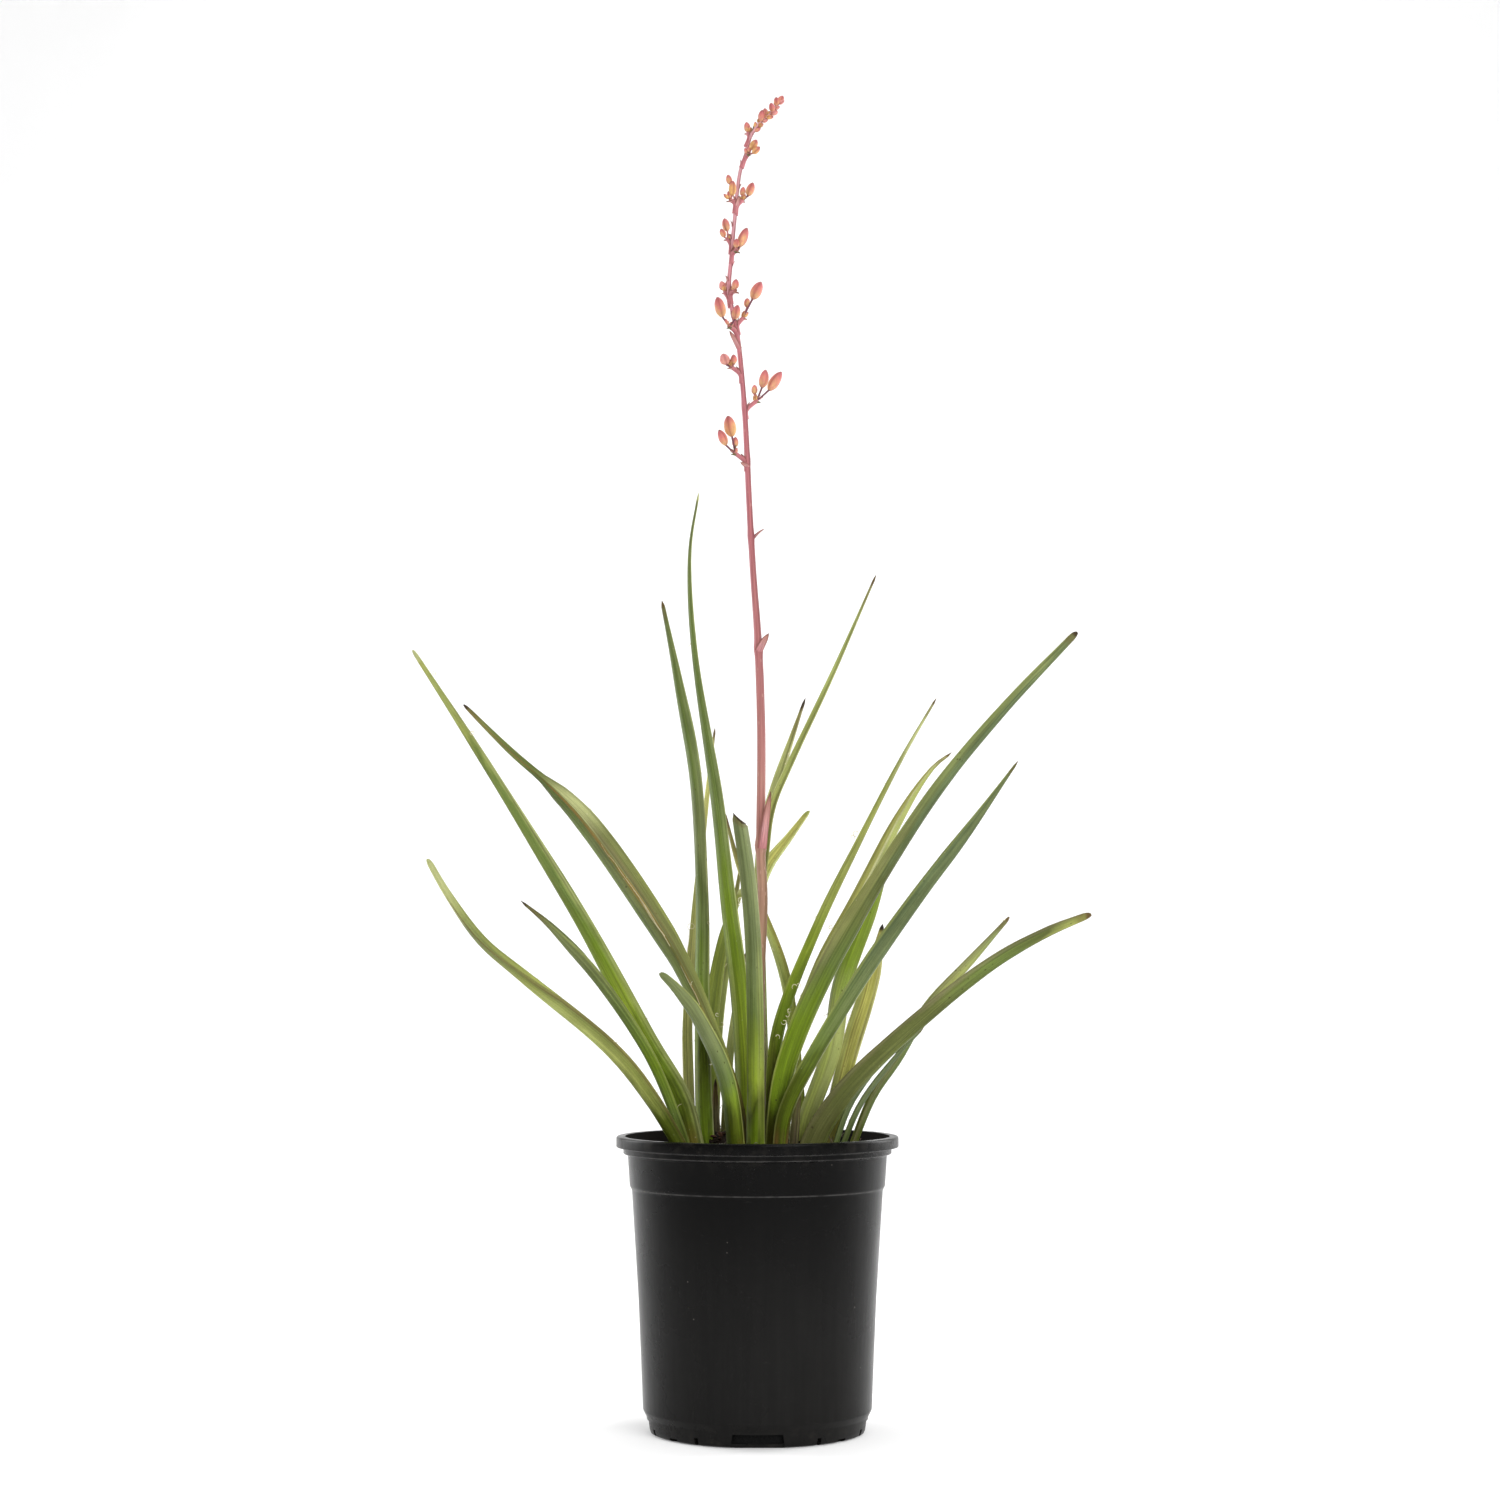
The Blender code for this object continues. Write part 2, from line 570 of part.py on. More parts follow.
# Clasping bracts: base and tip as (across, depth, up), width and thickness
BRACTS = (
    ((3.0, -2.5, 345), (6.5, -5.0, 379), 5.5, 1.3),
    ((1.0, -2.0, 465), (6.2, -3.0, 475), 4.0, 1.2),
    ((-2.5, 0.5, 533), (1.8, -1.0, 540), 2.6, 1.1),
    ((-6.3, -0.5, 577), (-11.0, -2.0, 581), 2.6, 1.0),
    ((-6.5, 0.5, 606), (-2.4, 2.0, 610), 2.6, 1.0),
    ((-12.8, -0.5, 654), (-16.8, -1.6, 657.5), 2.6, 1.0),
    ((-12.8, -0.6, 737), (-11.5, -3.2, 744), 2.2, 1.0),
)

# Bud sprays: foot on the stalk, then buds as (base, tip, width); a bud's own stem runs to the foot
SPRAYS = (
    dict(name="bud_spray_01", height=580, elbow=(-13.4, -4, 584), buds=(
        ((-15.3, -6, 594.4), (-17.8, -8, 607.0), 7.2),
        ((-19.0, -7, 589.1), (-23.2, -10, 598.4), 5.2),
        ((-13.4, -3, 588.0), (-13.2, -3, 594.0), 3.4))),
    dict(name="bud_spray_02", height=612, elbow=(-0.6, 4, 616), buds=(
        ((7.1, 8, 622.9), (14.7, 11, 634.0), 6.2),
        ((2.9, 5, 624.5), (5.1, 6, 635.3), 5.8),
        ((-1.8, 5, 620.5), (-1.6, 7, 626.0), 3.2))),
    dict(name="bud_spray_03", height=634, elbow=(-15.6, -2, 637), buds=(
        ((-18.8, -4, 638.6), (-21.0, -5, 645.3), 6.0),
        ((-14.0, -4, 639.2), (-14.4, -6, 644.8), 3.4))),
    dict(name="bud_spray_04", height=660, elbow=(-16.8, -4, 662), buds=(
        ((-21.1, -6, 668.0), (-24.3, -8, 680.3), 6.4),
        ((-13.6, -7, 666.7), (-11.9, -9, 675.4), 4.9))),
    dict(name="bud_spray_05", height=664, elbow=(-9.0, 3, 667), buds=(
        ((-2.9, 4, 679.1), (2.3, 5, 689.6), 6.6),
        ((-6.2, 6, 674.0), (-6.0, 8, 679.5), 3.4))),
    dict(name="bud_spray_06", height=681, elbow=(-19.6, 3, 683), buds=(
        ((-20.4, 4, 684.6), (-22.0, 5, 690.0), 3.8),
        ((-17.8, 6, 685.4), (-17.4, 8, 691.0), 3.4))),
    dict(name="bud_spray_07", height=683, elbow=(-13.6, -3, 684), buds=(
        ((-13.8, -4, 685.2), (-12.8, -5, 691.4), 3.8),)),
    dict(name="bud_spray_08", height=708, elbow=(-12.6, -3, 709), buds=(
        ((-10.8, -5, 711.6), (-6.2, -6, 723.1), 5.6),
        ((-13.0, -6, 711.0), (-12.6, -8, 716.5), 3.2))),
    dict(name="bud_spray_09", height=714, elbow=(-18.0, 2, 716), buds=(
        ((-18.2, 3, 721.3), (-20.0, 4, 729.0), 4.0),
        ((-20.0, 1, 717.5), (-22.2, 0, 722.6), 3.2))),
    dict(name="bud_spray_10", height=738, elbow=(-9.4, 3, 740), buds=(
        ((-5.6, 4, 743.2), (-2.6, 5, 751.2), 5.0),
        ((-9.2, 6, 743.2), (-8.4, 8, 748.6), 3.0))),
    dict(name="bud_spray_11", height=739, elbow=(-16.2, -3, 740.5), buds=(
        ((-15.4, -4, 743.2), (-14.9, -5, 752.4), 4.0),
        ((-16.6, -3, 750.4), (-18.0, -3, 756.2), 3.2))),
    dict(name="bud_spray_12", height=767, elbow=(-5.4, -3, 769), buds=(
        ((-3.8, -4, 772.0), (-0.3, -5, 778.0), 4.0),
        ((-2.8, -5, 769.6), (1.6, -7, 773.6), 3.2))),
    dict(name="bud_spray_13", height=780, elbow=(-5.6, 3, 782), buds=(
        ((-5.8, 4, 783.0), (-6.6, 5, 789.0), 3.4),)),
)
BRANCH_RADIUS = 1.0
PEDICEL_RADIUS = 0.8
ROUND_SIDES = 5
BUD_SIDES = 6
BUD_PROFILE = ((0.0, 0.34), (0.22, 0.86), (0.50, 1.0), (0.78, 0.74), (1.0, 0.16))

# The buds crowded at the spike's tip, fused to the stalk's own node: base, tip and width
TIP_BUDS = (
    ((2.0, -0.4, 789.6), (3.2, -4, 796.6), 3.4),
    ((5.6, 1, 792.2), (4.6, 4, 797.6), 3.0),
    ((8.6, 0, 794.6), (12.4, 3, 795.6), 3.2),
    ((9.6, 0, 795.8), (8.4, -4, 801.0), 3.2),
    ((12.2, 0, 800.0), (11.6, -3, 804.6), 3.0),
    ((12.8, 0, 800.4), (15.8, 1, 805.4), 3.4),
)


def round_ring(spot, direction, radius, sides, squash=1.0):
    """A ring of points round a direction."""
    across = direction.cross(Vector((0.0, 1.0, 0.0)))
    if across.length < 0.1:
        across = direction.cross(Vector((1.0, 0.0, 0.0)))
    across.normalize()
    behind = direction.cross(across)
    ring = []
    for step in range(sides):
        angle = math.tau * step / sides
        ring.append(spot + (across * math.cos(angle) + behind * math.sin(angle) * squash) * radius)
    return ring


def stalk_curve():
    """The dense path of the stalk, its root included."""
    return smooth_path(with_root([place(point) for point in STALK_PATH]))


def stalk_at(height):
    """The stalk's centre, its direction and its radius at a height."""
    dense = stalk_curve()
    length = path_length(dense)
    walked = 0.0
    for start, end in zip(dense, dense[1:]):
        step = (end - start).length
        if end.z >= height:
            share = max((height - start.z) / (end.z - start.z), 0.0)
            radius = stalk_radius((walked + step * share) / length, height)
            return start.lerp(end, share), (end - start).normalized(), radius
        walked += step
    return dense[-1], (dense[-1] - dense[-2]).normalized(), STALK_RADII[-1]


def stalk_heights():
    """The heights of the stalk's rings: sparse below, close where it bends, three at each node."""
    ends = stalk_curve()
    low = ends[0].z
    top = ends[-1].z
    heights = {low, top}
    heights.update(range(round(low) + STALK_LOW_STEP, STALK_BEND, STALK_LOW_STEP))
    heights.update(range(STALK_BEND, round(top) - 2, STALK_HIGH_STEP))
    for level, _ in STALK_NODES:
        heights = {height for height in heights if abs(height - level) > 2 * NODE_REACH}
        heights.update((level - NODE_REACH, level, level + NODE_REACH))
    return sorted(heights)


def stalk_radius(share, height):
    """The stalk's radius, with a swelling at each node."""
    radius = between(STALK_RADII, share)
    for level, growth in STALK_NODES:
        near = max(0.0, 1 - abs(height - level) / NODE_REACH)
        radius *= 1 + (growth - 1) * near
    return radius


def bud(name, base, tip, width, colour="bud_coral"):
    """One closed bud: full below its middle, with a narrow tip."""
    direction = (tip - base).normalized()
    rings = []
    for share, girth in BUD_PROFILE:
        rings.append(round_ring(base.lerp(tip, share), direction, width / 2 * girth, BUD_SIDES))
    points, faces = lofted(rings)
    return add_object(name, points, faces, colour)


def rod(name, points, radii, colour, sides=ROUND_SIDES):
    """A round stem through points."""
    rings = []
    for index, (spot, radius) in enumerate(zip(points, radii)):
        before = points[max(index - 1, 0)]
        after = points[min(index + 1, len(points) - 1)]
        rings.append(round_ring(spot, (after - before).normalized(), radius, sides))
    made, faces = lofted(rings)
    return add_object(name, made, faces, colour)


def bract(name, base, tip, width, thickness):
    """A pointed clasping scale that stands off the stalk."""
    root = place(base)
    end = place(tip)
    direction = (end - root).normalized()
    centre, _, _ = stalk_at(root.z)
    outward = end - centre
    outward = (outward - direction * outward.dot(direction)).normalized()
    sideways = outward.cross(direction)
    rings = []
    for share, girth in ((-0.12, 0.9), (0.2, 1.0), (0.6, 0.72), (1.0, 0.2)):
        spot = root.lerp(end, share)
        half = width / 2 * girth
        rings.append([
            spot + sideways * half,
            spot + outward * thickness / 2,
            spot - sideways * half,
            spot - outward * thickness / 2,
        ])
    points, faces = lofted(rings)
    return add_object(name, points, faces, "stalk_rose")


def stalk():
    """The stalk with its bracts and tip buds, and the cutter for its hole in the soil."""
    rings = []
    for height in stalk_heights():
        spot, direction, radius = stalk_at(height)
        rings.append(round_ring(spot, direction, radius, STALK_SIDES))
    points, faces = lofted(rings)
    body = add_object("flower_stalk", points, faces, "stalk_rose")
    parts = []
    for index, (base, tip, width, thickness) in enumerate(BRACTS):
        parts.append(bract(f"bract_{index}", base, tip, width, thickness))
    for index, (base, tip, width) in enumerate(TIP_BUDS):
        parts.append(bud(f"tip_bud_{index}", place(base), place(tip), width))
    boolean(body, parts, "UNION")
    start, direction, _ = stalk_at(stalk_heights()[0])
    rings = []
    for reach in (-GAP, ROOT_LENGTH + HOLE_REACH):
        flare = 0.4 if reach < 0 else 1.0
        spot = start + direction * reach
        rings.append(round_ring(spot, direction, STALK_RADII[0] + GAP + flare, STALK_SIDES))
    points, faces = lofted(rings)
    return add_object("flower_stalk_hole", points, faces, "soil_brown")


def spray(spec):
    """A side branch with its buds: a foot close to the stalk, an elbow and a stem for each bud."""
    centre, direction, radius = stalk_at(spec["height"])
    elbow = place(spec["elbow"])
    outward = (elbow - centre).normalized()
    slope = abs(outward.dot(direction))
    level = math.sqrt(1 - slope * slope)
    foot = centre + outward * (radius + GAP + BRANCH_RADIUS * slope) / level
    name = spec["name"]
    parts = []
    for index, (base, tip, width) in enumerate(spec["buds"]):
        low = place(base)
        high = place(tip)
        inside = low.lerp(high, 0.25)
        middle = elbow.lerp(low, 0.5) + Vector((0.0, 0.0, -0.4))
        parts.append(rod(
            f"{name}_stem_{index}", [elbow, middle, inside],
            [PEDICEL_RADIUS, PEDICEL_RADIUS, PEDICEL_RADIUS], "stalk_rose",
        ))
        parts.append(bud(f"{name}_bud_{index}", low, high, width))
    beyond = elbow + outward * 0.6
    branch = rod(name, [foot, foot.lerp(beyond, 0.5), beyond], [BRANCH_RADIUS] * 3, "bud_coral")
    boolean(branch, parts, "UNION")


def main():
    """Build every piece of the potted plant."""
    clear_scene()
    pot()
    holes = [leaf(spec) for spec in LEAVES]
    holes.append(stalk())
    for spec in SPRAYS:
        spray(spec)
    soil(holes)


main()
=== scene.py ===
"""A potted red yucca, in full detail, on the frame of its CAD model.

Tables of the plant are in millimetres, and MM turns them into metres when a mesh is made. A point of the
plant is (across, depth, up): across and up lie on the upright plane through the pot's axis as they look
from EYE, and place() carries the point along its line of sight to its depth behind that plane.
"""
import math
import random
from itertools import combinations

import bpy
from mathutils import Matrix, Vector


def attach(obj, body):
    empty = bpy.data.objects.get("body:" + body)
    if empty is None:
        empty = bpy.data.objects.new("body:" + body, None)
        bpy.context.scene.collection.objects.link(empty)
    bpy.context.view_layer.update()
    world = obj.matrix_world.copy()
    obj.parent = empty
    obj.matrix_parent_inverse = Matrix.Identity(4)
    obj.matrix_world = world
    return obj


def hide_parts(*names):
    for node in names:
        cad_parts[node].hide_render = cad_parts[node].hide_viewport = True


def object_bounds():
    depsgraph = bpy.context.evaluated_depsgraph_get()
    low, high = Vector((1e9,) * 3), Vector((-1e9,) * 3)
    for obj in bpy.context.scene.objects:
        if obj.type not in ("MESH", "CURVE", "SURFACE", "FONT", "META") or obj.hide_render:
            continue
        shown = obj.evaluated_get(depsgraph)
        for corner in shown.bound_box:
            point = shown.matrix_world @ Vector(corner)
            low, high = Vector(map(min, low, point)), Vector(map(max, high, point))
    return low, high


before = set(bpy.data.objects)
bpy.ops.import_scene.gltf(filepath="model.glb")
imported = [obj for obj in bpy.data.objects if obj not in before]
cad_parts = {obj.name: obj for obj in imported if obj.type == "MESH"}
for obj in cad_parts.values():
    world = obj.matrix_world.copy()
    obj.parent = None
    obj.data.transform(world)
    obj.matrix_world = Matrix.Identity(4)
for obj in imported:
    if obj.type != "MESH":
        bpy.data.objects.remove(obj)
cad_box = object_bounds()

MM = 0.001
SEED = 11
THREAD_SEED = SEED + 300
STALK_SEED = SEED + 500
SPRAY_SEED = SEED + 600
SOIL_SEED = SEED + 900
FRONT = Vector((0.0, -1.0, 0.0))
BACK = Vector((0.0, 1.0, 0.0))
RIGHT = Vector((1.0, 0.0, 0.0))

# The eye that the plant's points are drawn from, which is the camera's place
EYE = Vector((-4.4, -1700.0, 273.0))
CAMERA_TILT = 94.39
CAMERA_LENS = 67.99
CAMERA_SENSOR = 36.0

# Pot
POT_SEGMENTS = 192
POT_HEIGHT = 173.2
RIM_RADIUS = 84.0
RIM_BAND = 6.8
RIM_MOUTH = 78.6
COLLAR_RADIUS = 79.8
COLLAR_HEIGHT = 3.4
BAND_TOP_RADIUS = 77.1
BAND_FOOT_RADIUS = 75.9
BAND_FOOT = 144.0
BODY_TOP_RADIUS = 74.6
BODY_TOP = 141.6
BODY_MIDDLE_RADIUS = 70.4
BODY_MIDDLE = 76.5
BODY_FOOT_RADIUS = 67.6
BODY_FOOT = 13.4
FOOT_TOP_RADIUS = 65.5
FOOT_TOP = 9.3
FOOT_RADIUS = 64.9
FOOT_ROUND = 3.4
FOOT_BEVEL = 0.9
BAND_SLOPE = 1.0
RIM_UNDERCUT = 0.4
RIM_BEVEL = 0.8
INNER_FOOT = 1.0
RIM_FOOT = POT_HEIGHT - RIM_BAND
COLLAR_FOOT = RIM_FOOT - COLLAR_HEIGHT
WALL = 1.9
FLOOR = 2.4
DRAIN_WIDTH = 32.0
DRAIN_HEIGHT = 8.0
DRAIN_REACH = 60.0
NOTCHES = ((33.0, 3.0, 4.6), (49.0, 7.5, 2.2), (68.0, 3.0, 4.6))
NOTCH_REACH = FOOT_RADIUS - FOOT_ROUND - 1.0
CORNER = 0.7
CORNER_SHARES = (0.0, 0.25, 0.5, 0.75, 1.0)
LONGEST_CORNER = 0.45
CUT_BELOW = -2.0
CUT_TAPER = 0.9
INSIDE_REACH = 0.9
POT_SHARP = 32

# Soil
SOIL_EDGE = 158.0
SOIL_MOUND = 12.0
MOUND_REACH = (50, 38)
SOIL_HUMP = (-22.0, 4.0, 8.0, 9.0)
SOIL_RINGS = 44
SOIL_SEGMENTS = 120
SOIL_ROUGHNESS = 1.1
SOIL_GAP = 0.35
SOIL_EDGE_GAP = 0.9
WAVE_COUNT = 26
WAVE_PITCHES = (3.0, 16.0)
CHUNK_COUNT = 1500
CHUNK_SIZES = (0.9, 4.6)
CHUNK_REACH = 0.985
CHUNK_TILT = 0.5
CHUNK_WIDTHS = (0.4, 0.8)
CHUNK_HEIGHTS = (0.25, 0.6)
CHUNK_DENTS = (0.75, 1.15)
CHUNK_LIFTS = (-0.1, 0.3)
LONGEST_EDGE = 2.1
GRIT_SHARE = 0.035
GRIT_SIZE = 2.2
FIBRE_COUNT = 90
FIBRE_REACH = 0.9
FIBRE_STEP = 1.3
FIBRE_STEPS = (6, 14)
FIBRE_BEND = 0.3
FIBRE_RADII = (0.14, 0.3)
FIBRE_SIDES = 5
FIBRE_LIFT = 0.6
FIBRE_CLEAR = 0.2

# Leaf section: depth of the channel and thickness as shares of the width
CHANNEL_SHARE = 0.34
THICK_SHARE = 0.26
MARGIN_SHARE = 0.10
LEAST_THICKNESS = 1.1
LEAST_MARGIN = 0.8
FIT_STEPS = 4
FIT_CLOSE = 0.01
LEAST_WIDTH = 1.6
FACE_STEPS = 12
EDGE_ANGLES = (-50, 0, 50)

# Along a leaf: the step of its rings, its root, and how its blunt or pointed tip closes
STATION_STEP = 6.5
ROOT_LENGTH = 15.0
BLUNT_LENGTH = 5.0
BLUNT_STEPS = (0.0, 0.25, 0.5, 0.7, 0.85, 0.95, 1.0)
BLUNT_SHRINK = 0.95
POINT_LENGTH = 4.0
POINT_STEPS = (0.0, 0.4, 0.7, 0.9, 1.0)
POINT_SHRINK = 0.88
POINT_CURVE = 1.3
CUT_SHRINK = 0.8

# Seeded waves along a leaf: how many, their pitches, and how far they change its width and its roll
RIPPLES = 3
RIPPLE_PITCHES = (14, 40)
RIPPLE_WIDTH = 0.02
RIPPLE_ROLL = 2

# A leaf's surface, living or dry: how far its streaks shade it, its roughness, how deep its streaks are
# in metres, and its gloss
LIVING = dict(streaks=(0.80, 1.20), rough=(0.38, 0.54), depth=0.0004, gloss=0.12)
DRIED = dict(streaks=(0.6, 1.4), rough=(0.7, 0.9), depth=0.001, gloss=0.06)
FIELD_STEP = 3.7

# Filaments: how thick all are, then those that curl, stand loose and cling to a margin
FILAMENT_RADIUS = 0.27
FILAMENT_STEP = 0.75
FILAMENT_SIDES = 4
FILAMENT_TAPER = 0.5
CURL_LEAN = 0.5
CURL_START = 0.55
CURL_GROWTH = 0.75
CURL_REACH = 0.9
CURL_TONES = (0.1, 0.6)
LEAST_CURL = 6
LOOSE_BURIED = 0.5
LOOSE_BENDS = (0.1, 0.6)
LEAST_LOOSE = 5
LOOSE_LENGTHS = (2.0, 5.0)
LOOSE_SPREAD = 0.4
LOOSE_FROM = 6
LOOSE_SHORT = 4
LOOSE_SIZE = 0.7
CLINGING_COUNT = 5
CLINGING_FROM = 4
CLINGING_ROWS = (5, 10)
CLINGING_CLEAR = 0.15
CLINGING_BULGE = 0.2
CLINGING_DRIFT = 0.4
CLINGING_SWAY = 0.5
CLINGING_SIZE = 0.6

# Linear colours of the plant
# OLIVE is the olive green of the leaf bases and of some blades, darkened as painted shade for the shade among
# the leaves near the soil
OLIVE = (0.064, 0.086, 0.004)
DEEP = (0.074, 0.110, 0.020)
MID = (0.120, 0.168, 0.034)
FRESH = (0.150, 0.228, 0.010)
LIME = (0.250, 0.330, 0.026)
BLUE_GREY = (0.108, 0.144, 0.058)
GREY_GREEN = (0.166, 0.196, 0.070)
YELLOW_GREEN = (0.290, 0.315, 0.080)
YELLOW = (0.440, 0.420, 0.110)
PALE = (0.470, 0.490, 0.220)
CREAM = (0.640, 0.610, 0.400)
LIGHT = (0.370, 0.410, 0.120)
DULL = (0.108, 0.124, 0.030)
TAN = (0.180, 0.170, 0.062)
GREY_BROWN = (0.185, 0.160, 0.085)
BROWN = (0.120, 0.078, 0.026)
ORANGE_BROWN = (0.230, 0.115, 0.030)
PURPLE_BROWN = (0.110, 0.078, 0.052)
DARK_BROWN = (0.038, 0.023, 0.011)
BLACK = (0.010, 0.008, 0.006)
BLOOM = (0.190, 0.228, 0.125)
# Painted shade for the stalk's dark side, low and high, and painted light for its other side
STALK_PAINTED_SHADE_LOW = (0.170, 0.100, 0.050)
STALK_PAINTED_SHADE_HIGH = (0.190, 0.055, 0.060)
STALK_PAINTED_LIGHT = (0.600, 0.330, 0.380)
STALK_GREEN = (0.250, 0.230, 0.075)
STALK_FLECK = (0.560, 0.340, 0.280)
STEM_END = (0.50, 0.22, 0.14)
SCALE_EDGE = (0.22, 0.08, 0.06)
BUD_PEACH = (0.68, 0.40, 0.18)
BUD_ROSE = (0.56, 0.15, 0.18)
BUD_PALE = (0.66, 0.30, 0.28)
BUD_GOLD = (0.68, 0.38, 0.13)
BUD_BROWN = (0.26, 0.12, 0.05)
BUD_SEAM_RED = (0.26, 0.06, 0.05)

# Linear colours of the pot and the soil
# Painted shade: the pot's plastic darkens to this from the lower body up to the rim band
POT_PAINTED_SHADE = (0.0020, 0.0019, 0.0018)
POT_RUBBED = (0.030, 0.029, 0.027)
POT_DUST = (0.050, 0.044, 0.036)
# Colour of the thin painted highlight lines at the pot's steps
POT_PAINTED_HIGHLIGHT = (0.060, 0.058, 0.056)
POT_SPECK = (0.12, 0.11, 0.10)
GRIT = (0.42, 0.36, 0.28)
# Painted shade for the buried body of the mix, seen through the drain slots
SOIL_PAINTED_SHADE = (0.003, 0.003, 0.003)

# Runs of linear colour as (place, colour)
THREAD_RUN = ((0.0, (0.52, 0.46, 0.26)), (0.5, (0.68, 0.64, 0.42)), (1.0, (0.82, 0.80, 0.66)))
STALK_RUN = (
    (0.0, (0.200, 0.150, 0.050)), (0.08, (0.340, 0.215, 0.112)), (0.26, (0.400, 0.225, 0.160)),
    (0.34, (0.400, 0.175, 0.155)), (0.60, (0.410, 0.135, 0.145)), (0.78, (0.480, 0.160, 0.185)),
    (0.88, (0.600, 0.300, 0.330)), (1.0, (0.600, 0.300, 0.320)),
)
STEM_RUN = ((0.0, (0.44, 0.15, 0.17)), (0.5, (0.44, 0.16, 0.16)), (1.0, (0.17, 0.06, 0.08)))
SCALE_RUN = (
    (0.0, (0.50, 0.20, 0.21)), (0.35, (0.54, 0.27, 0.27)), (0.8, (0.46, 0.22, 0.18)), (1.0, (0.12, 0.05, 0.03)),
)
DRY_SCALE_RUN = ((0.3, (0.055, 0.050, 0.022)), (0.55, (0.16, 0.13, 0.06)), (0.8, (0.42, 0.33, 0.17)))
BUD_RUN = (
    (0.0, (0.52, 0.26, 0.13)), (0.16, (0.64, 0.36, 0.18)), (0.42, (0.62, 0.24, 0.16)),
    (0.72, (0.56, 0.165, 0.145)), (0.92, (0.42, 0.11, 0.12)), (1.0, (0.20, 0.08, 0.06)),
)
POT_RUN = ((0.3, (0.0072, 0.0069, 0.0066)), (0.7, (0.0098, 0.0094, 0.0089)))
INSIDE_RUN = ((0.35, (0.0035, 0.0032, 0.0030)), (0.75, (0.0110, 0.0090, 0.0075)))
SOIL_RUN = (
    (0.0, (0.010, 0.007, 0.005)), (0.45, (0.022, 0.013, 0.009)), (0.75, (0.045, 0.022, 0.014)),
    (0.92, (0.085, 0.036, 0.022)), (1.0, (0.130, 0.065, 0.038)),
)


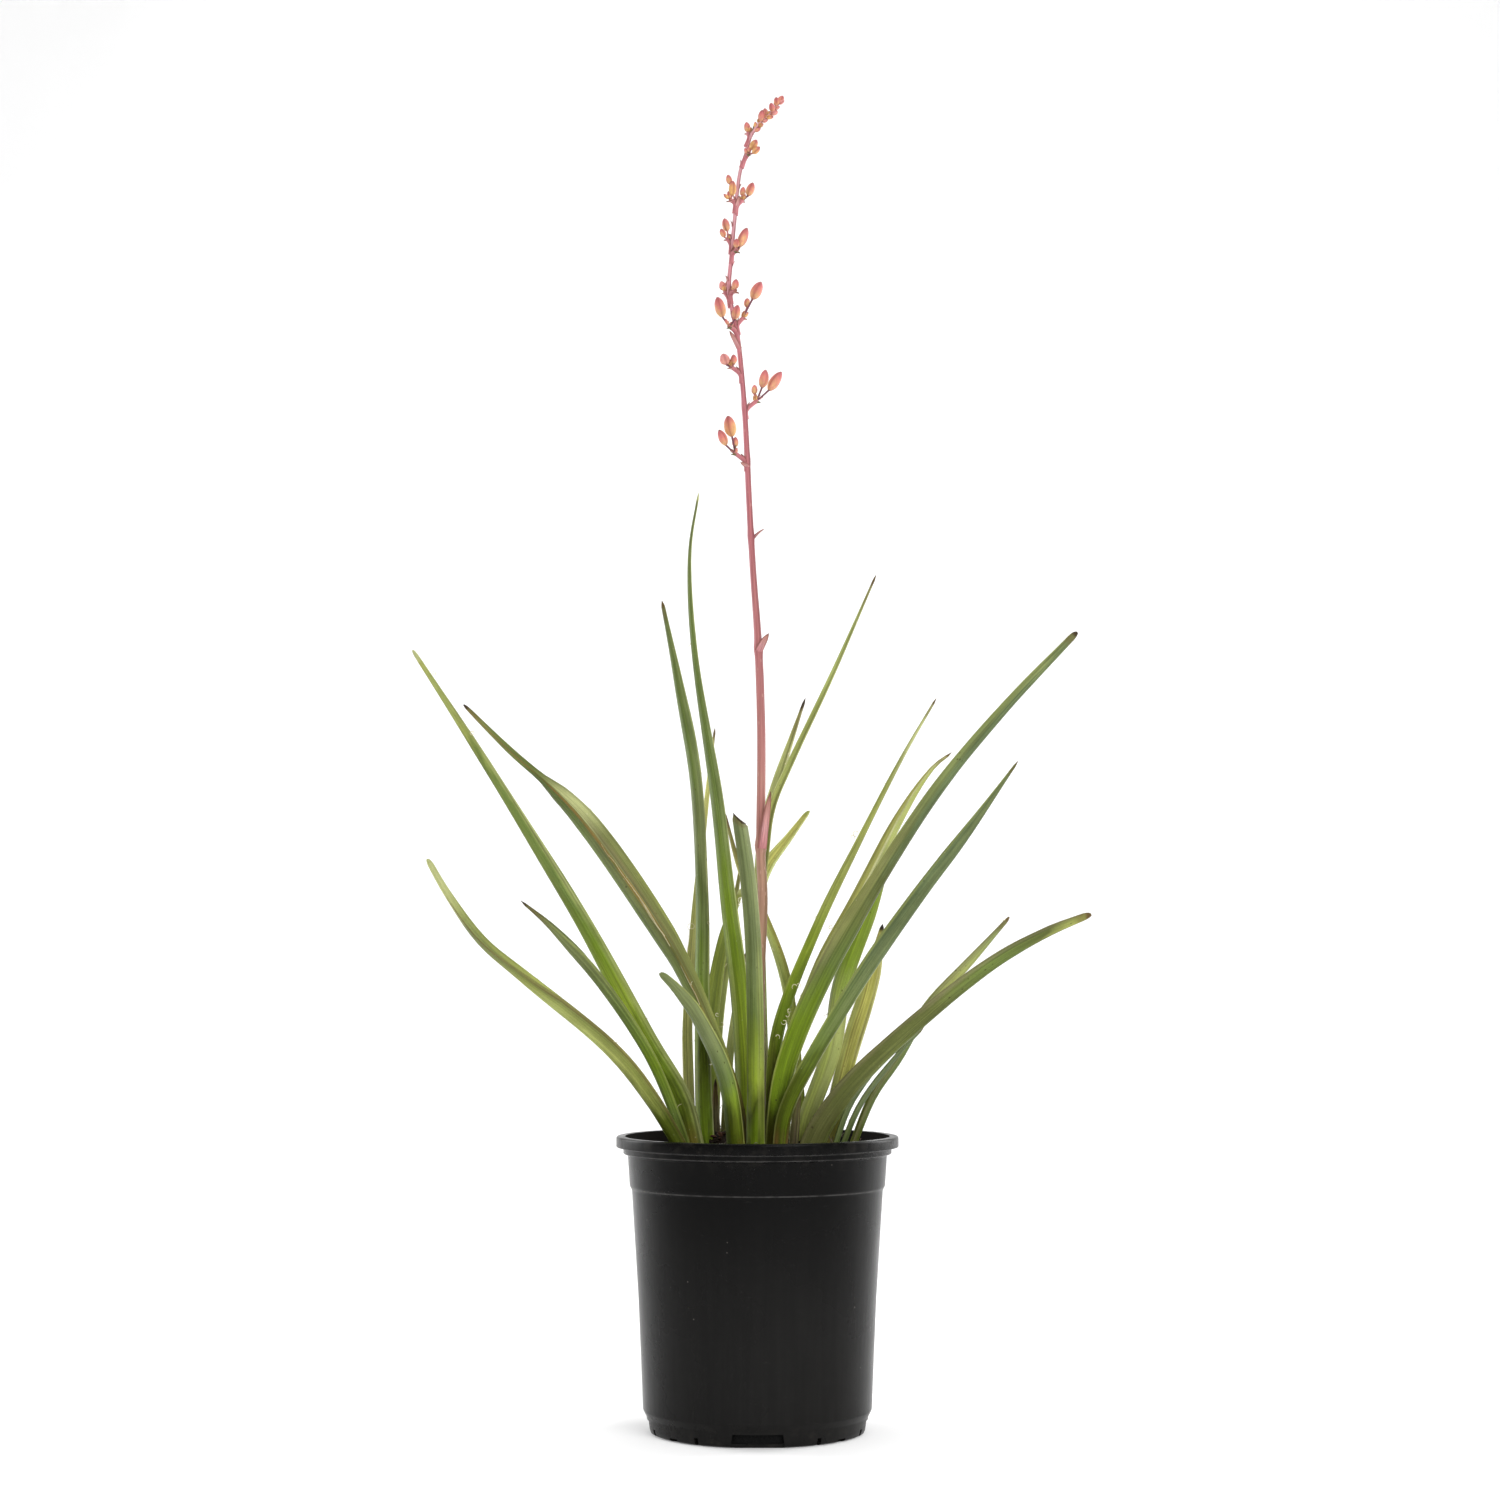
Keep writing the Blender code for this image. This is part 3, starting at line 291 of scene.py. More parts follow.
# Each leaf: widths from base to tip, roll of its channel from facing the front at base and tip
# (90 turns it to the right, 180 to the back), and its path from the soil to the tip.
LEAVES = (
    # Left crown
    dict(name="leaf_left_long", slot="leaf_green", tip="blunt", roll=(140, 120),
         width=(11.9, 11.8, 9.2, 5.8, 2.6),
         path=((-36, -12, 160), (-45, -13, 195), (-67, -15, 232), (-102.4, -18, 297), (-136, -22, 352),
               (-172, -28, 409), (-208, -34, 464))),
    dict(name="leaf_left_low", slot="leaf_yellow", tip="blunt", roll=(150, 40),
         width=(8.3, 9.4, 8.6, 6.2, 3.5),
         path=((-42, -29, 160), (-63, -35, 195), (-89.5, -42, 226.8), (-138.4, -54, 266.6), (-165, -60, 289),
               (-185, -64, 316), (-198, -66, 338))),
    dict(name="leaf_left_small", slot="leaf_green", tip="pointed", roll=(140, 75),
         width=(5.9, 6.2, 6.6, 6.8, 1.4),
         path=((-41, -20, 160), (-47, -22, 180), (-64.5, -29, 221), (-92.5, -40, 263), (-121, -50, 295),
               (-142, -58, 313))),
    dict(name="leaf_left_tall", slot="leaf_green", tip="pointed", roll=(172, 150),
         width=(10.8, 9.2, 7.6, 7.6, 2.4),
         path=((-30, -1, 160), (-32, 0, 193), (-33, 5, 254), (-33, 12, 313), (-37, 24, 386),
               (-47.4, 40, 444), (-57.6, 52, 494))),
    dict(name="leaf_left_back_thin", slot="leaf_yellow", tip="pointed", roll=(10, 60),
         width=(6.0, 6.0, 5.2, 3.6, 1.4),
         path=((-39, 7, 160), (-41, 12, 210), (-41.5, 22, 247), (-37.5, 42, 301), (-31.5, 72, 364),
               (-25.5, 105, 417))),
    dict(name="leaf_left_back", slot="leaf_green", tip="pointed", roll=(-10, -30),
         width=(7.9, 8.8, 9.2, 7.4, 3.0),
         path=((-29, 14, 160), (-28, 26, 218), (-26.5, 44, 254), (-19.5, 64, 292), (-9, 96, 321))),
    # Centre crown
    dict(name="leaf_front_short", slot="leaf_blue", tip="blunt", roll=(168, 150),
         width=(10.6, 10.2, 9.7, 8.2, 4.0),
         path=((-12, -30, 160), (-18, -38, 205), (-34, -54, 241), (-46, -65, 258), (-58, -75, 270))),
    dict(name="leaf_centre_left", slot="leaf_olive", tip="blunt", roll=(75, 65),
         width=(6.0, 6.5, 7.1, 8.0, 9.3, 10.4, 11.5, 13.9, 14.7, 14.9, 14.8, 14.0, 11.0, 4.6, 4.2,
                3.2, 2.2),
         path=((-6, -12, 160), (-14.2, -16, 201), (-38, -21, 260), (-61.5, -26, 302), (-105, -30, 363),
               (-148.8, -34, 403.2), (-177, -38, 431))),
    dict(name="leaf_centre_tallest", slot="leaf_green", tip="pointed", roll=(175, 160),
         width=(12.0, 11.2, 8.2, 3.8, 1.4),
         path=((-8, -3, 160), (-7, -4, 193), (-10, -6, 252), (-18, -8, 318), (-24.5, -7, 376),
               (-37.4, 2, 459), (-41, 10, 519), (-35.5, 16, 560))),
    dict(name="leaf_centre_blunt", slot="leaf_blue", tip="blunt", roll=(180, 185),
         width=(11.3, 10.2, 9.8, 9.4, 8.2),
         path=((-1, -23, 160), (-1, -31, 222), (-2, -44, 277), (-5.4, -60, 324), (-11.3, -76, 366))),
    dict(name="leaf_back_left_grey", slot="leaf_blue", tip="pointed", roll=(0, -30),
         width=(6.1, 6.7, 7.3, 5.4, 1.8),
         path=((-26, 26, 160), (-24, 48, 236), (-18, 80, 282), (-10, 110, 334))),
    dict(name="leaf_back_left_low", slot="leaf_blue", tip="pointed", roll=(0, -30),
         width=(5.5, 5.4, 5.0, 3.9, 1.8),
         path=((-20, 17, 160), (-17, 28, 215), (-13, 44, 248), (-7, 70, 282))),
    dict(name="leaf_back_yellow", slot="leaf_yellow", tip="blunt", roll=(-10, -60),
         width=(7.3, 7.2, 7.6, 8.4, 3.2),
         path=((5, 24, 160), (2, 42, 254), (1, 66, 313), (5.5, 80, 333), (19, 98, 351),
               (31, 114, 367))),
    dict(name="leaf_back_olive", slot="leaf_olive", tip="pointed", roll=(-15, -50),
         width=(6.0, 6.6, 7.6, 6.8, 1.6),
         path=((6, 14, 160), (1.5, 22, 254), (2.5, 32, 343), (10, 42, 378), (21.8, 54, 414), (29, 64, 435))),
    dict(name="leaf_back_tall", slot="leaf_green", tip="pointed", roll=(-20, -45),
         width=(5.4, 5.3, 5.2, 3.6, 1.4),
         path=((-5, 10, 160), (-2, 11, 277), (4, 14, 336), (8.4, 16, 368), (20, 20, 396),
               (46, 32, 451), (72, 46, 510))),
    dict(name="leaf_centre_right_thin", slot="leaf_green", tip="pointed", roll=(-150, -140),
         width=(8.4, 7.8, 5.9, 3.3, 1.4),
         path=((10, -5, 160), (9, -6, 188), (12.7, -5, 237), (35.7, 4, 297), (60.7, 14, 348), (86, 20, 397),
               (108, 26, 435))),
    dict(name="leaf_centre_right_long", slot="leaf_green", tip="blunt", roll=(-145, -130),
         width=(10.7, 12.0, 12.8, 13.0, 9.6, 8.2, 7.0, 5.8, 4.2),
         path=((9, -15, 160), (16, -18, 211), (36.8, -22, 264), (69.3, -24, 321), (108.2, -26, 380),
               (149, -28, 429), (193, -30, 475))),
    dict(name="leaf_right_yellow", slot="leaf_yellow", tip="pointed", roll=(-60, -80),
         width=(7.2, 7.7, 8.3, 7.6, 1.6),
         path=((15, 6, 160), (20, 13, 218), (36, 26, 270), (59, 38, 313), (86, 50, 364),
               (104, 57, 391), (117, 62, 402))),
    dict(name="leaf_right_middle", slot="leaf_blue", tip="pointed", roll=(-155, -125),
         width=(8.9, 9.2, 9.4, 7.8, 1.4),
         path=((13, -29, 160), (17, -31, 188), (35, -37, 223), (65.2, -46, 272), (96.3, -56, 316),
               (129, -66, 358.5), (157, -74, 397))),
    # Right crown
    dict(name="leaf_right_wide", slot="leaf_green", tip="pointed", roll=(165, 150),
         width=(10.8, 11.3, 11.8, 10.0, 1.8),
         path=((27, -4, 160), (29, -5, 181), (44, 0, 223), (51, 12, 264), (66, 26, 304),
               (82, 42, 347))),
    dict(name="leaf_right_folded", slot="leaf_yellow", tip="pointed", roll=(0, -20),
         width=(8.5, 10.8, 11.4, 10.6, 2.4),
         path=((40, 8, 160), (51, 16, 208), (58, 32, 233), (67.5, 58, 264), (75, 90, 299))),
    dict(name="leaf_right_long_low", slot="leaf_olive", tip="blunt", roll=(-145, -120),
         width=(15.0, 13.6, 12.0, 10.4, 9.8, 8.8, 7.6, 6.0, 4.1),
         path=((30, -22, 160), (38, -26, 179), (59, -33, 207), (97, -42, 242), (138, -50, 274),
               (171, -56, 293), (200, -60, 305))),
    dict(name="leaf_right_back_left", slot="leaf_olive", tip="pointed", roll=(30, 60),
         width=(7.3, 7.0, 6.8, 4.6, 1.6),
         path=((28, 16, 160), (25, 20, 194), (18, 32, 261), (3, 48, 306), (-10, 66, 331),
               (-20, 78, 367))),
    dict(name="leaf_right_low_back", slot="leaf_yellow", tip="blunt", roll=(-80, -100),
         width=(4.6, 5.2, 6.0, 5.8, 2.4),
         path=((54, -3, 160), (68, 0, 195), (84, 6, 219), (102, 14, 250), (126.5, 24, 276),
               (151, 34, 303))),
    dict(name="leaf_right_young_outer", slot="leaf_green", tip="pointed", roll=(-90, -90),
         width=(3.4, 3.6, 3.4, 2.6, 1.4),
         path=((48, -9, 160), (61, -9, 191), (81, -6, 218), (100, -2, 238))),
    dict(name="leaf_right_young_inner", slot="leaf_green", tip="pointed", roll=(-90, -90),
         width=(3.4, 3.6, 3.4, 2.6, 1.4),
         path=((44, -15, 160), (55, -13, 191), (73, -8, 216), (88, -2, 231))),
    # Dry sheaths
    dict(name="dry_sheath_left", slot="dry_sheath", tip="pointed", roll=(175, 160),
         width=(5.5, 6.0, 5.0, 3.5, 1.6), path=((-24, 7, 160), (-25, 8, 185), (-25, 10, 207))),
    dict(name="dry_sheath_right", slot="dry_sheath", tip="pointed", roll=(175, 190),
         width=(5.0, 5.5, 5.0, 3.5, 1.6), path=((21, -13, 160), (23, -14, 185), (26, -12, 209))),
)

# How each leaf is coloured: the run of its outer face from base to tip, the tint of its channel, its two
# margins as (colour, width as a share of the half width, strength), its tip as (colour, length share), how
# strong its bloom is, and marks as (way from, way to, share from, share to, face, colour, strength).
# The minus margin is the one on the left where the outer face shows, and on the right where the channel
# does. Face is 0 for the outer face, 1 for the channel, 2 for both.
THIN_PALE = (PALE, 0.08, 0.30)
YOUNG = dict(
    run=((0, DEEP), (0.5, BLUE_GREY), (1, BLUE_GREY)),
    channel=BLUE_GREY, minus=(GREY_GREEN, 0.3, 0.6), plus=(DEEP, 0.3, 0.6), tip=(BROWN, 0.02), bloom=0.15,
    marks=((0.0, 1.0, -0.3, 0.2, 2, DEEP, 0.6),))
LOOKS = {
    "leaf_left_long": dict(
        run=((0, OLIVE), (0.08, OLIVE), (0.18, FRESH), (0.28, LIME), (0.38, FRESH), (0.5, MID),
             (0.75, MID), (0.86, YELLOW_GREEN), (0.93, LIGHT), (1, YELLOW)),
        channel=YELLOW_GREEN, minus=(GREY_GREEN, 0.25, 0.45), plus=(PALE, 0.12, 0.4), tip=(PALE, 0.02),
        bloom=0.06,
        marks=((0.35, 0.97, -0.2, 0.35, 0, YELLOW_GREEN, 0.2), (0.0, 0.03, 0.1, 0.8, 0, ORANGE_BROWN, 0.6),
               (0.0, 0.16, -1.0, -0.4, 0, DEEP, 0.5), (0.05, 0.95, 0.74, 1.0, 0, LIGHT, 0.5),
               (0.5, 0.9, 0.8, 1.0, 0, GREY_BROWN, 0.4))),
    "leaf_left_low": dict(
        run=((0, OLIVE), (0.12, OLIVE), (0.3, YELLOW_GREEN), (0.5, LIGHT), (0.62, YELLOW_GREEN),
             (0.78, GREY_GREEN), (0.88, PALE), (1, CREAM)),
        channel=YELLOW_GREEN, minus=THIN_PALE, plus=(BROWN, 0.12, 0.6), tip=(PALE, 0.10), bloom=0.05,
        marks=((0.2, 0.7, 0.6, 1.0, 0, OLIVE, 0.4), (0.3, 0.6, 0.85, 1.0, 0, DARK_BROWN, 0.5),
               (0.0, 0.2, -1.0, -0.4, 0, OLIVE, 0.3), (0.45, 0.85, -0.5, 0.6, 1, GREY_GREEN, 0.6))),
    "leaf_left_small": dict(
        run=((0, OLIVE), (0.15, MID), (0.3, FRESH), (0.5, MID), (0.7, GREY_GREEN), (1, GREY_GREEN)),
        channel=GREY_GREEN, minus=(GREY_GREEN, 0.2, 0.5), plus=(YELLOW_GREEN, 0.12, 0.35),
        tip=(DARK_BROWN, 0.025), bloom=0.05,
        marks=((0.3, 1.0, -1.0, -0.2, 0, DEEP, 0.3), (0.88, 1.0, -1.0, 1.0, 2, BROWN, 0.5))),
    "leaf_left_tall": dict(
        run=((0, OLIVE), (0.06, FRESH), (0.16, OLIVE), (0.28, FRESH), (0.4, MID), (0.55, GREY_GREEN),
             (0.7, MID), (0.85, MID), (1, GREY_GREEN)),
        channel=YELLOW_GREEN, minus=(GREY_GREEN, 0.12, 0.4), plus=(PALE, 0.12, 0.5), tip=(BROWN, 0.012),
        bloom=0.10,
        marks=((0.2, 0.95, 0.35, 1.0, 0, GREY_GREEN, 0.45), (0.1, 0.95, -0.95, -0.7, 0, DEEP, 0.25),
               (0.0, 0.2, -1.0, -0.5, 0, YELLOW_GREEN, 0.3), (0.0, 0.05, -1.0, -0.7, 0, ORANGE_BROWN, 0.5))),
    "leaf_left_back_thin": dict(
        run=((0, OLIVE), (0.12, YELLOW), (0.5, YELLOW), (1, YELLOW)),
        channel=PALE, minus=(PALE, 0.2, 0.5), plus=(LIGHT, 0.2, 0.4), tip=(BROWN, 0.03), bloom=0.0,
        marks=((0.0, 0.62, 0.02, 0.14, 1, DARK_BROWN, 0.7), (0.0, 0.62, 0.6, 1.0, 1, YELLOW_GREEN, 0.5),
               (0.5, 1.0, -0.2, 0.5, 1, YELLOW_GREEN, 0.5), (0.7, 1.0, -1.0, 1.0, 1, YELLOW, 0.5))),
    "leaf_left_back": dict(
        run=((0, FRESH), (0.4, FRESH), (0.8, FRESH), (1, YELLOW_GREEN)),
        channel=YELLOW_GREEN, minus=(YELLOW_GREEN, 0.18, 0.5), plus=(GREY_GREEN, 0.15, 0.5), tip=(PALE, 0.03),
        bloom=0.06, marks=((0.1, 0.8, -0.2, 0.3, 1, MID, 0.35), (0.0, 0.3, -1.0, 0.0, 1, MID, 0.4))),
    "leaf_front_short": dict(
        run=((0, OLIVE), (0.16, OLIVE), (0.3, FRESH), (0.42, MID), (0.6, GREY_GREEN), (1, GREY_GREEN)),
        channel=GREY_GREEN, minus=(GREY_GREEN, 0.14, 0.5), plus=(YELLOW_GREEN, 0.07, 0.8),
        tip=(GREY_GREEN, 0.03), bloom=0.15,
        marks=((0.1, 0.32, 0.1, 0.8, 0, LIME, 0.3), (0.0, 0.4, -0.9, -0.3, 0, DEEP, 0.5),
               (0.3, 0.7, -0.8, 0.5, 0, BLUE_GREY, 0.35), (0.45, 0.95, -0.7, -0.3, 0, MID, 0.5),
               (0.0, 0.06, 0.4, 1.0, 0, ORANGE_BROWN, 0.5))),
    "leaf_centre_left": dict(
        run=((0, OLIVE), (0.15, FRESH), (0.3, MID), (0.65, MID), (0.8, OLIVE), (1, YELLOW_GREEN)),
        channel=TAN, minus=(YELLOW_GREEN, 0.10, 0.5), plus=(ORANGE_BROWN, 0.03, 0.6), tip=(DARK_BROWN, 0.012),
        bloom=0.04,
        marks=((0.4, 0.72, -0.5, 0.9, 1, GREY_BROWN, 0.5), (0.0, 0.5, -0.5, 0.2, 1, DULL, 0.5),
               (0.1, 0.68, -0.20, -0.12, 1, BROWN, 0.85), (0.15, 0.62, -0.50, -0.44, 1, BROWN, 0.6),
               (0.1, 0.66, 0.0, 0.06, 1, DARK_BROWN, 0.6), (0.1, 0.66, 0.86, 0.92, 0, BROWN, 0.6),
               (0.2, 0.6, -1.0, -0.7, 1, YELLOW_GREEN, 0.5), (0.0, 0.18, -0.9, 0.5, 1, ORANGE_BROWN, 0.35),
               (0.685, 0.79, -1.0, 0.2, 1, PALE, 0.85), (0.79, 0.96, -1.0, 1.0, 2, MID, 0.6),
               (0.3, 0.9, -1.0, -0.4, 0, DEEP, 0.4), (0.1, 0.4, 0.4, 0.85, 0, YELLOW_GREEN, 0.25),
               (0.4, 0.66, 0.5, 0.9, 0, GREY_BROWN, 0.3))),
    "leaf_centre_tallest": dict(
        run=((0, MID), (0.03, LIME), (0.18, LIME), (0.29, FRESH), (0.4, FRESH), (0.5, MID), (0.75, MID),
             (1, GREY_GREEN)),
        channel=YELLOW_GREEN, minus=(GREY_GREEN, 0.2, 0.5), plus=(PALE, 0.10, 0.5), tip=(PALE, 0.012),
        bloom=0.06,
        marks=((0.3, 0.95, 0.5, 1.0, 0, GREY_GREEN, 0.5), (0.02, 0.35, -0.9, -0.3, 0, LIGHT, 0.45),
               (0.45, 0.9, -0.9, -0.5, 0, DEEP, 0.4))),
    "leaf_centre_blunt": dict(
        run=((0, OLIVE), (0.05, FRESH), (0.14, OLIVE), (0.26, LIME), (0.42, MID), (0.65, GREY_GREEN),
             (1, GREY_GREEN)),
        channel=GREY_GREEN, minus=(GREY_GREEN, 0.12, 0.6), plus=(PALE, 0.10, 0.45), tip=(DARK_BROWN, 0.008),
        bloom=0.12,
        marks=((0.3, 1.0, -0.8, -0.3, 0, DEEP, 0.4), (0.05, 0.6, 0.2, 0.95, 0, YELLOW_GREEN, 0.45),
               (0.5, 1.0, -0.3, 0.4, 0, BLUE_GREY, 0.4), (0.0, 0.04, -0.9, -0.6, 0, ORANGE_BROWN, 0.5))),
    "leaf_back_left_grey": dict(
        run=((0, GREY_BROWN), (0.35, YELLOW_GREEN), (0.7, YELLOW_GREEN), (1, LIGHT)),
        channel=LIGHT, minus=THIN_PALE, plus=THIN_PALE, tip=(BROWN, 0.03), bloom=0.2,
        marks=((0.0, 1.0, -0.2, 0.2, 1, GREY_BROWN, 0.4),)),
    "leaf_back_left_low": dict(
        run=((0, GREY_GREEN), (0.4, LIGHT), (1, LIGHT)),
        channel=PALE, minus=THIN_PALE, plus=THIN_PALE, tip=(BROWN, 0.03), bloom=0.15, marks=()),
    "leaf_back_yellow": dict(
        run=((0, OLIVE), (0.4, FRESH), (0.75, LIGHT), (1, YELLOW)),
        channel=YELLOW, minus=(YELLOW_GREEN, 0.3, 0.6), plus=(PALE, 0.25, 0.5), tip=(YELLOW_GREEN, 0.02),
        bloom=0.0,
        marks=((0.5, 1.0, -1.0, -0.3, 1, GREY_GREEN, 0.4), (0.7, 1.0, -0.1, 0.6, 1, YELLOW, 0.5))),
    "leaf_back_olive": dict(
        run=((0, OLIVE), (0.5, MID), (0.8, LIGHT), (1, YELLOW)),
        channel=PALE, minus=(CREAM, 0.12, 0.5), plus=(PALE, 0.25, 0.5), tip=(DARK_BROWN, 0.03), bloom=0.0,
        marks=((0.55, 0.8, -0.3, 0.4, 1, GREY_GREEN, 0.5), (0.8, 0.95, -0.2, 0.2, 1, GREY_GREEN, 0.4))),
    "leaf_back_tall": dict(
        run=((0, OLIVE), (0.5, YELLOW_GREEN), (0.8, LIGHT), (1, PALE)),
        channel=LIGHT, minus=THIN_PALE, plus=(PALE, 0.3, 0.5), tip=(BROWN, 0.02), bloom=0.1,
        marks=((0.3, 1.0, -0.5, 0.1, 2, GREY_GREEN, 0.5),)),
    "leaf_centre_right_thin": dict(
        run=((0, OLIVE), (0.14, OLIVE), (0.25, FRESH), (0.42, LIME), (0.6, YELLOW_GREEN),
             (0.75, YELLOW_GREEN), (0.86, PALE), (1, PALE)),
        channel=YELLOW_GREEN, minus=(YELLOW_GREEN, 0.14, 0.4), plus=(MID, 0.25, 0.3), tip=(BROWN, 0.015),
        bloom=0.04,
        marks=((0.0, 0.25, -0.9, -0.3, 0, BROWN, 0.35), (0.25, 0.5, -0.1, 0.5, 0, LIME, 0.3),
               (0.0, 0.3, 0.6, 1.0, 0, DEEP, 0.4), (0.5, 0.95, -1.0, -0.4, 0, YELLOW_GREEN, 0.4))),
    "leaf_centre_right_long": dict(
        run=((0, OLIVE), (0.06, OLIVE), (0.13, FRESH), (0.24, FRESH), (0.34, MID), (0.45, DULL),
             (0.6, BLUE_GREY), (0.9, BLUE_GREY), (1, GREY_GREEN)),
        channel=GREY_BROWN, minus=(YELLOW_GREEN, 0.08, 0.4), plus=(PALE, 0.14, 0.6), tip=(DARK_BROWN, 0.008),
        bloom=0.08,
        marks=((0.08, 0.24, 0.0, 0.9, 0, LIME, 0.5), (0.3, 0.6, -1.0, -0.6, 2, GREY_BROWN, 0.45),
               (0.24, 0.42, -1.0, -0.85, 2, PURPLE_BROWN, 0.6), (0.55, 0.95, 0.5, 1.0, 0, DEEP, 0.35),
               # The PALE mark on the plus side of this leaf's lower part is painted light, a rim light along
               # that edge
               (0.0, 0.03, -1.0, -0.5, 0, ORANGE_BROWN, 0.5), (0.0, 0.42, 0.38, 1.0, 0, PALE, 0.65),
               (0.35, 0.95, -0.95, -0.5, 0, YELLOW_GREEN, 0.35))),
    "leaf_right_yellow": dict(
        run=((0, OLIVE), (0.35, LIGHT), (0.7, LIGHT), (1, YELLOW_GREEN)),
        channel=YELLOW, minus=(CREAM, 0.12, 0.4), plus=(GREY_BROWN, 0.2, 0.4), tip=(BROWN, 0.015), bloom=0.0,
        marks=((0.3, 0.9, -0.9, -0.2, 2, YELLOW_GREEN, 0.5), (0.4, 0.9, 0.5, 1.0, 2, GREY_BROWN, 0.2))),
    "leaf_right_middle": dict(
        run=((0, BROWN), (0.06, OLIVE), (0.16, OLIVE), (0.3, MID), (0.5, BLUE_GREY), (0.8, BLUE_GREY),
             (1, GREY_GREEN)),
        channel=GREY_GREEN, minus=(YELLOW_GREEN, 0.10, 0.5), plus=(GREY_GREEN, 0.12, 0.4), tip=(BROWN, 0.012),
        bloom=0.10,
        marks=((0.0, 0.25, -0.6, 0.2, 0, FRESH, 0.35), (0.45, 0.95, 0.5, 1.0, 0, GREY_BROWN, 0.3),
               (0.0, 0.06, 0.2, 1.0, 0, ORANGE_BROWN, 0.5), (0.0, 0.05, -1.0, -0.6, 0, ORANGE_BROWN, 0.6),
               # The PALE mark on the plus side of this leaf's lower half is painted light, a rim light along
               # that edge
               (0.12, 0.68, 0.35, 1.0, 0, PALE, 0.6), (0.3, 0.95, -0.6, -0.1, 0, GREY_GREEN, 0.35))),
    "leaf_right_wide": dict(
        run=((0, YELLOW_GREEN), (0.12, LIGHT), (0.42, LIGHT), (0.6, FRESH), (0.85, FRESH), (1, MID)),
        channel=YELLOW_GREEN, minus=(PALE, 0.1, 0.5), plus=(YELLOW_GREEN, 0.12, 0.5), tip=(BROWN, 0.02),
        bloom=0.08,
        marks=((0.05, 0.5, -0.5, 0.3, 0, LIME, 0.3), (0.45, 1.0, -1.0, -0.4, 0, DEEP, 0.4),
               (0.6, 1.0, 0.2, 0.8, 0, LIME, 0.3), (0.1, 0.5, 0.3, 1.0, 0, GREY_GREEN, 0.3))),
    "leaf_right_folded": dict(
        run=((0, BROWN), (0.10, OLIVE), (0.22, YELLOW_GREEN), (0.45, YELLOW), (0.85, YELLOW), (1, LIGHT)),
        channel=YELLOW, minus=(PALE, 0.12, 0.5), plus=(YELLOW_GREEN, 0.2, 0.6), tip=(BLACK, 0.03), bloom=0.0,
        marks=((0.2, 0.72, 0.28, 0.36, 1, DARK_BROWN, 0.95), (0.1, 0.3, -0.9, 0.1, 1, YELLOW_GREEN, 0.35),
               (0.15, 0.8, 0.45, 1.0, 1, GREY_GREEN, 0.6), (0.0, 0.12, -0.9, 0.4, 2, BROWN, 0.4),
               (0.35, 0.6, 0.0, 0.2, 1, DARK_BROWN, 0.4), (0.35, 0.85, -1.0, -0.5, 1, CREAM, 0.3))),
    "leaf_right_long_low": dict(
        run=((0, GREY_GREEN), (0.08, DULL), (0.3, DULL), (0.55, DULL), (0.75, MID), (0.88, DULL),
             (1, YELLOW_GREEN)),
        channel=TAN, minus=(GREY_BROWN, 0.15, 0.4), plus=(YELLOW_GREEN, 0.10, 0.55), tip=(BROWN, 0.012),
        bloom=0.06,
        marks=((0.0, 0.16, -0.9, 0.0, 0, PURPLE_BROWN, 0.2), (0.35, 0.75, -0.2, 0.5, 0, OLIVE, 0.3),
               (0.5, 1.0, -1.0, -0.75, 2, GREY_BROWN, 0.4), (0.12, 0.9, 0.2, 0.8, 0, MID, 0.5))),
    "leaf_right_back_left": dict(
        run=((0, OLIVE), (0.35, FRESH), (0.55, LIGHT), (0.8, YELLOW), (1, YELLOW_GREEN)),
        channel=LIGHT, minus=(BROWN, 0.15, 0.5), plus=(PALE, 0.10, 0.5), tip=(BROWN, 0.05), bloom=0.0,
        marks=((0.78, 1.0, -1.0, 0.2, 2, BROWN, 0.35), (0.2, 0.75, -0.9, -0.2, 2, YELLOW_GREEN, 0.5),
               (0.5, 0.75, -1.0, -0.5, 1, ORANGE_BROWN, 0.35))),
    "leaf_right_low_back": dict(
        run=((0, OLIVE), (0.4, MID), (0.7, YELLOW_GREEN), (1, GREY_GREEN)),
        channel=YELLOW_GREEN, minus=(GREY_BROWN, 0.3, 0.5), plus=THIN_PALE, tip=(BROWN, 0.02), bloom=0.1,
        marks=()),
    "leaf_right_young_outer": YOUNG,
    "leaf_right_young_inner": YOUNG,
    "dry_sheath_left": dict(
        run=((0, PURPLE_BROWN), (0.6, GREY_BROWN), (1, BROWN)),
        channel=GREY_BROWN, minus=(BLACK, 0.3, 0.8), plus=(CREAM, 0.1, 0.5), tip=(DARK_BROWN, 0.1), bloom=0.0,
        marks=((0.0, 1.0, -0.3, 0.1, 2, DARK_BROWN, 0.5),)),
    "dry_sheath_right": dict(
        run=((0, GREY_BROWN), (0.6, TAN), (1, GREY_BROWN)),
        channel=TAN, minus=(CREAM, 0.12, 0.4), plus=(DARK_BROWN, 0.2, 0.6), tip=(DARK_BROWN, 0.1), bloom=0.0,
        marks=((0.1, 0.9, -0.1, 0.3, 2, PURPLE_BROWN, 0.5),)),
}
DRY = ("dry_sheath_left", "dry_sheath_right")
CUT_TIPS = {"leaf_centre_blunt": (8.0, 14.0)}

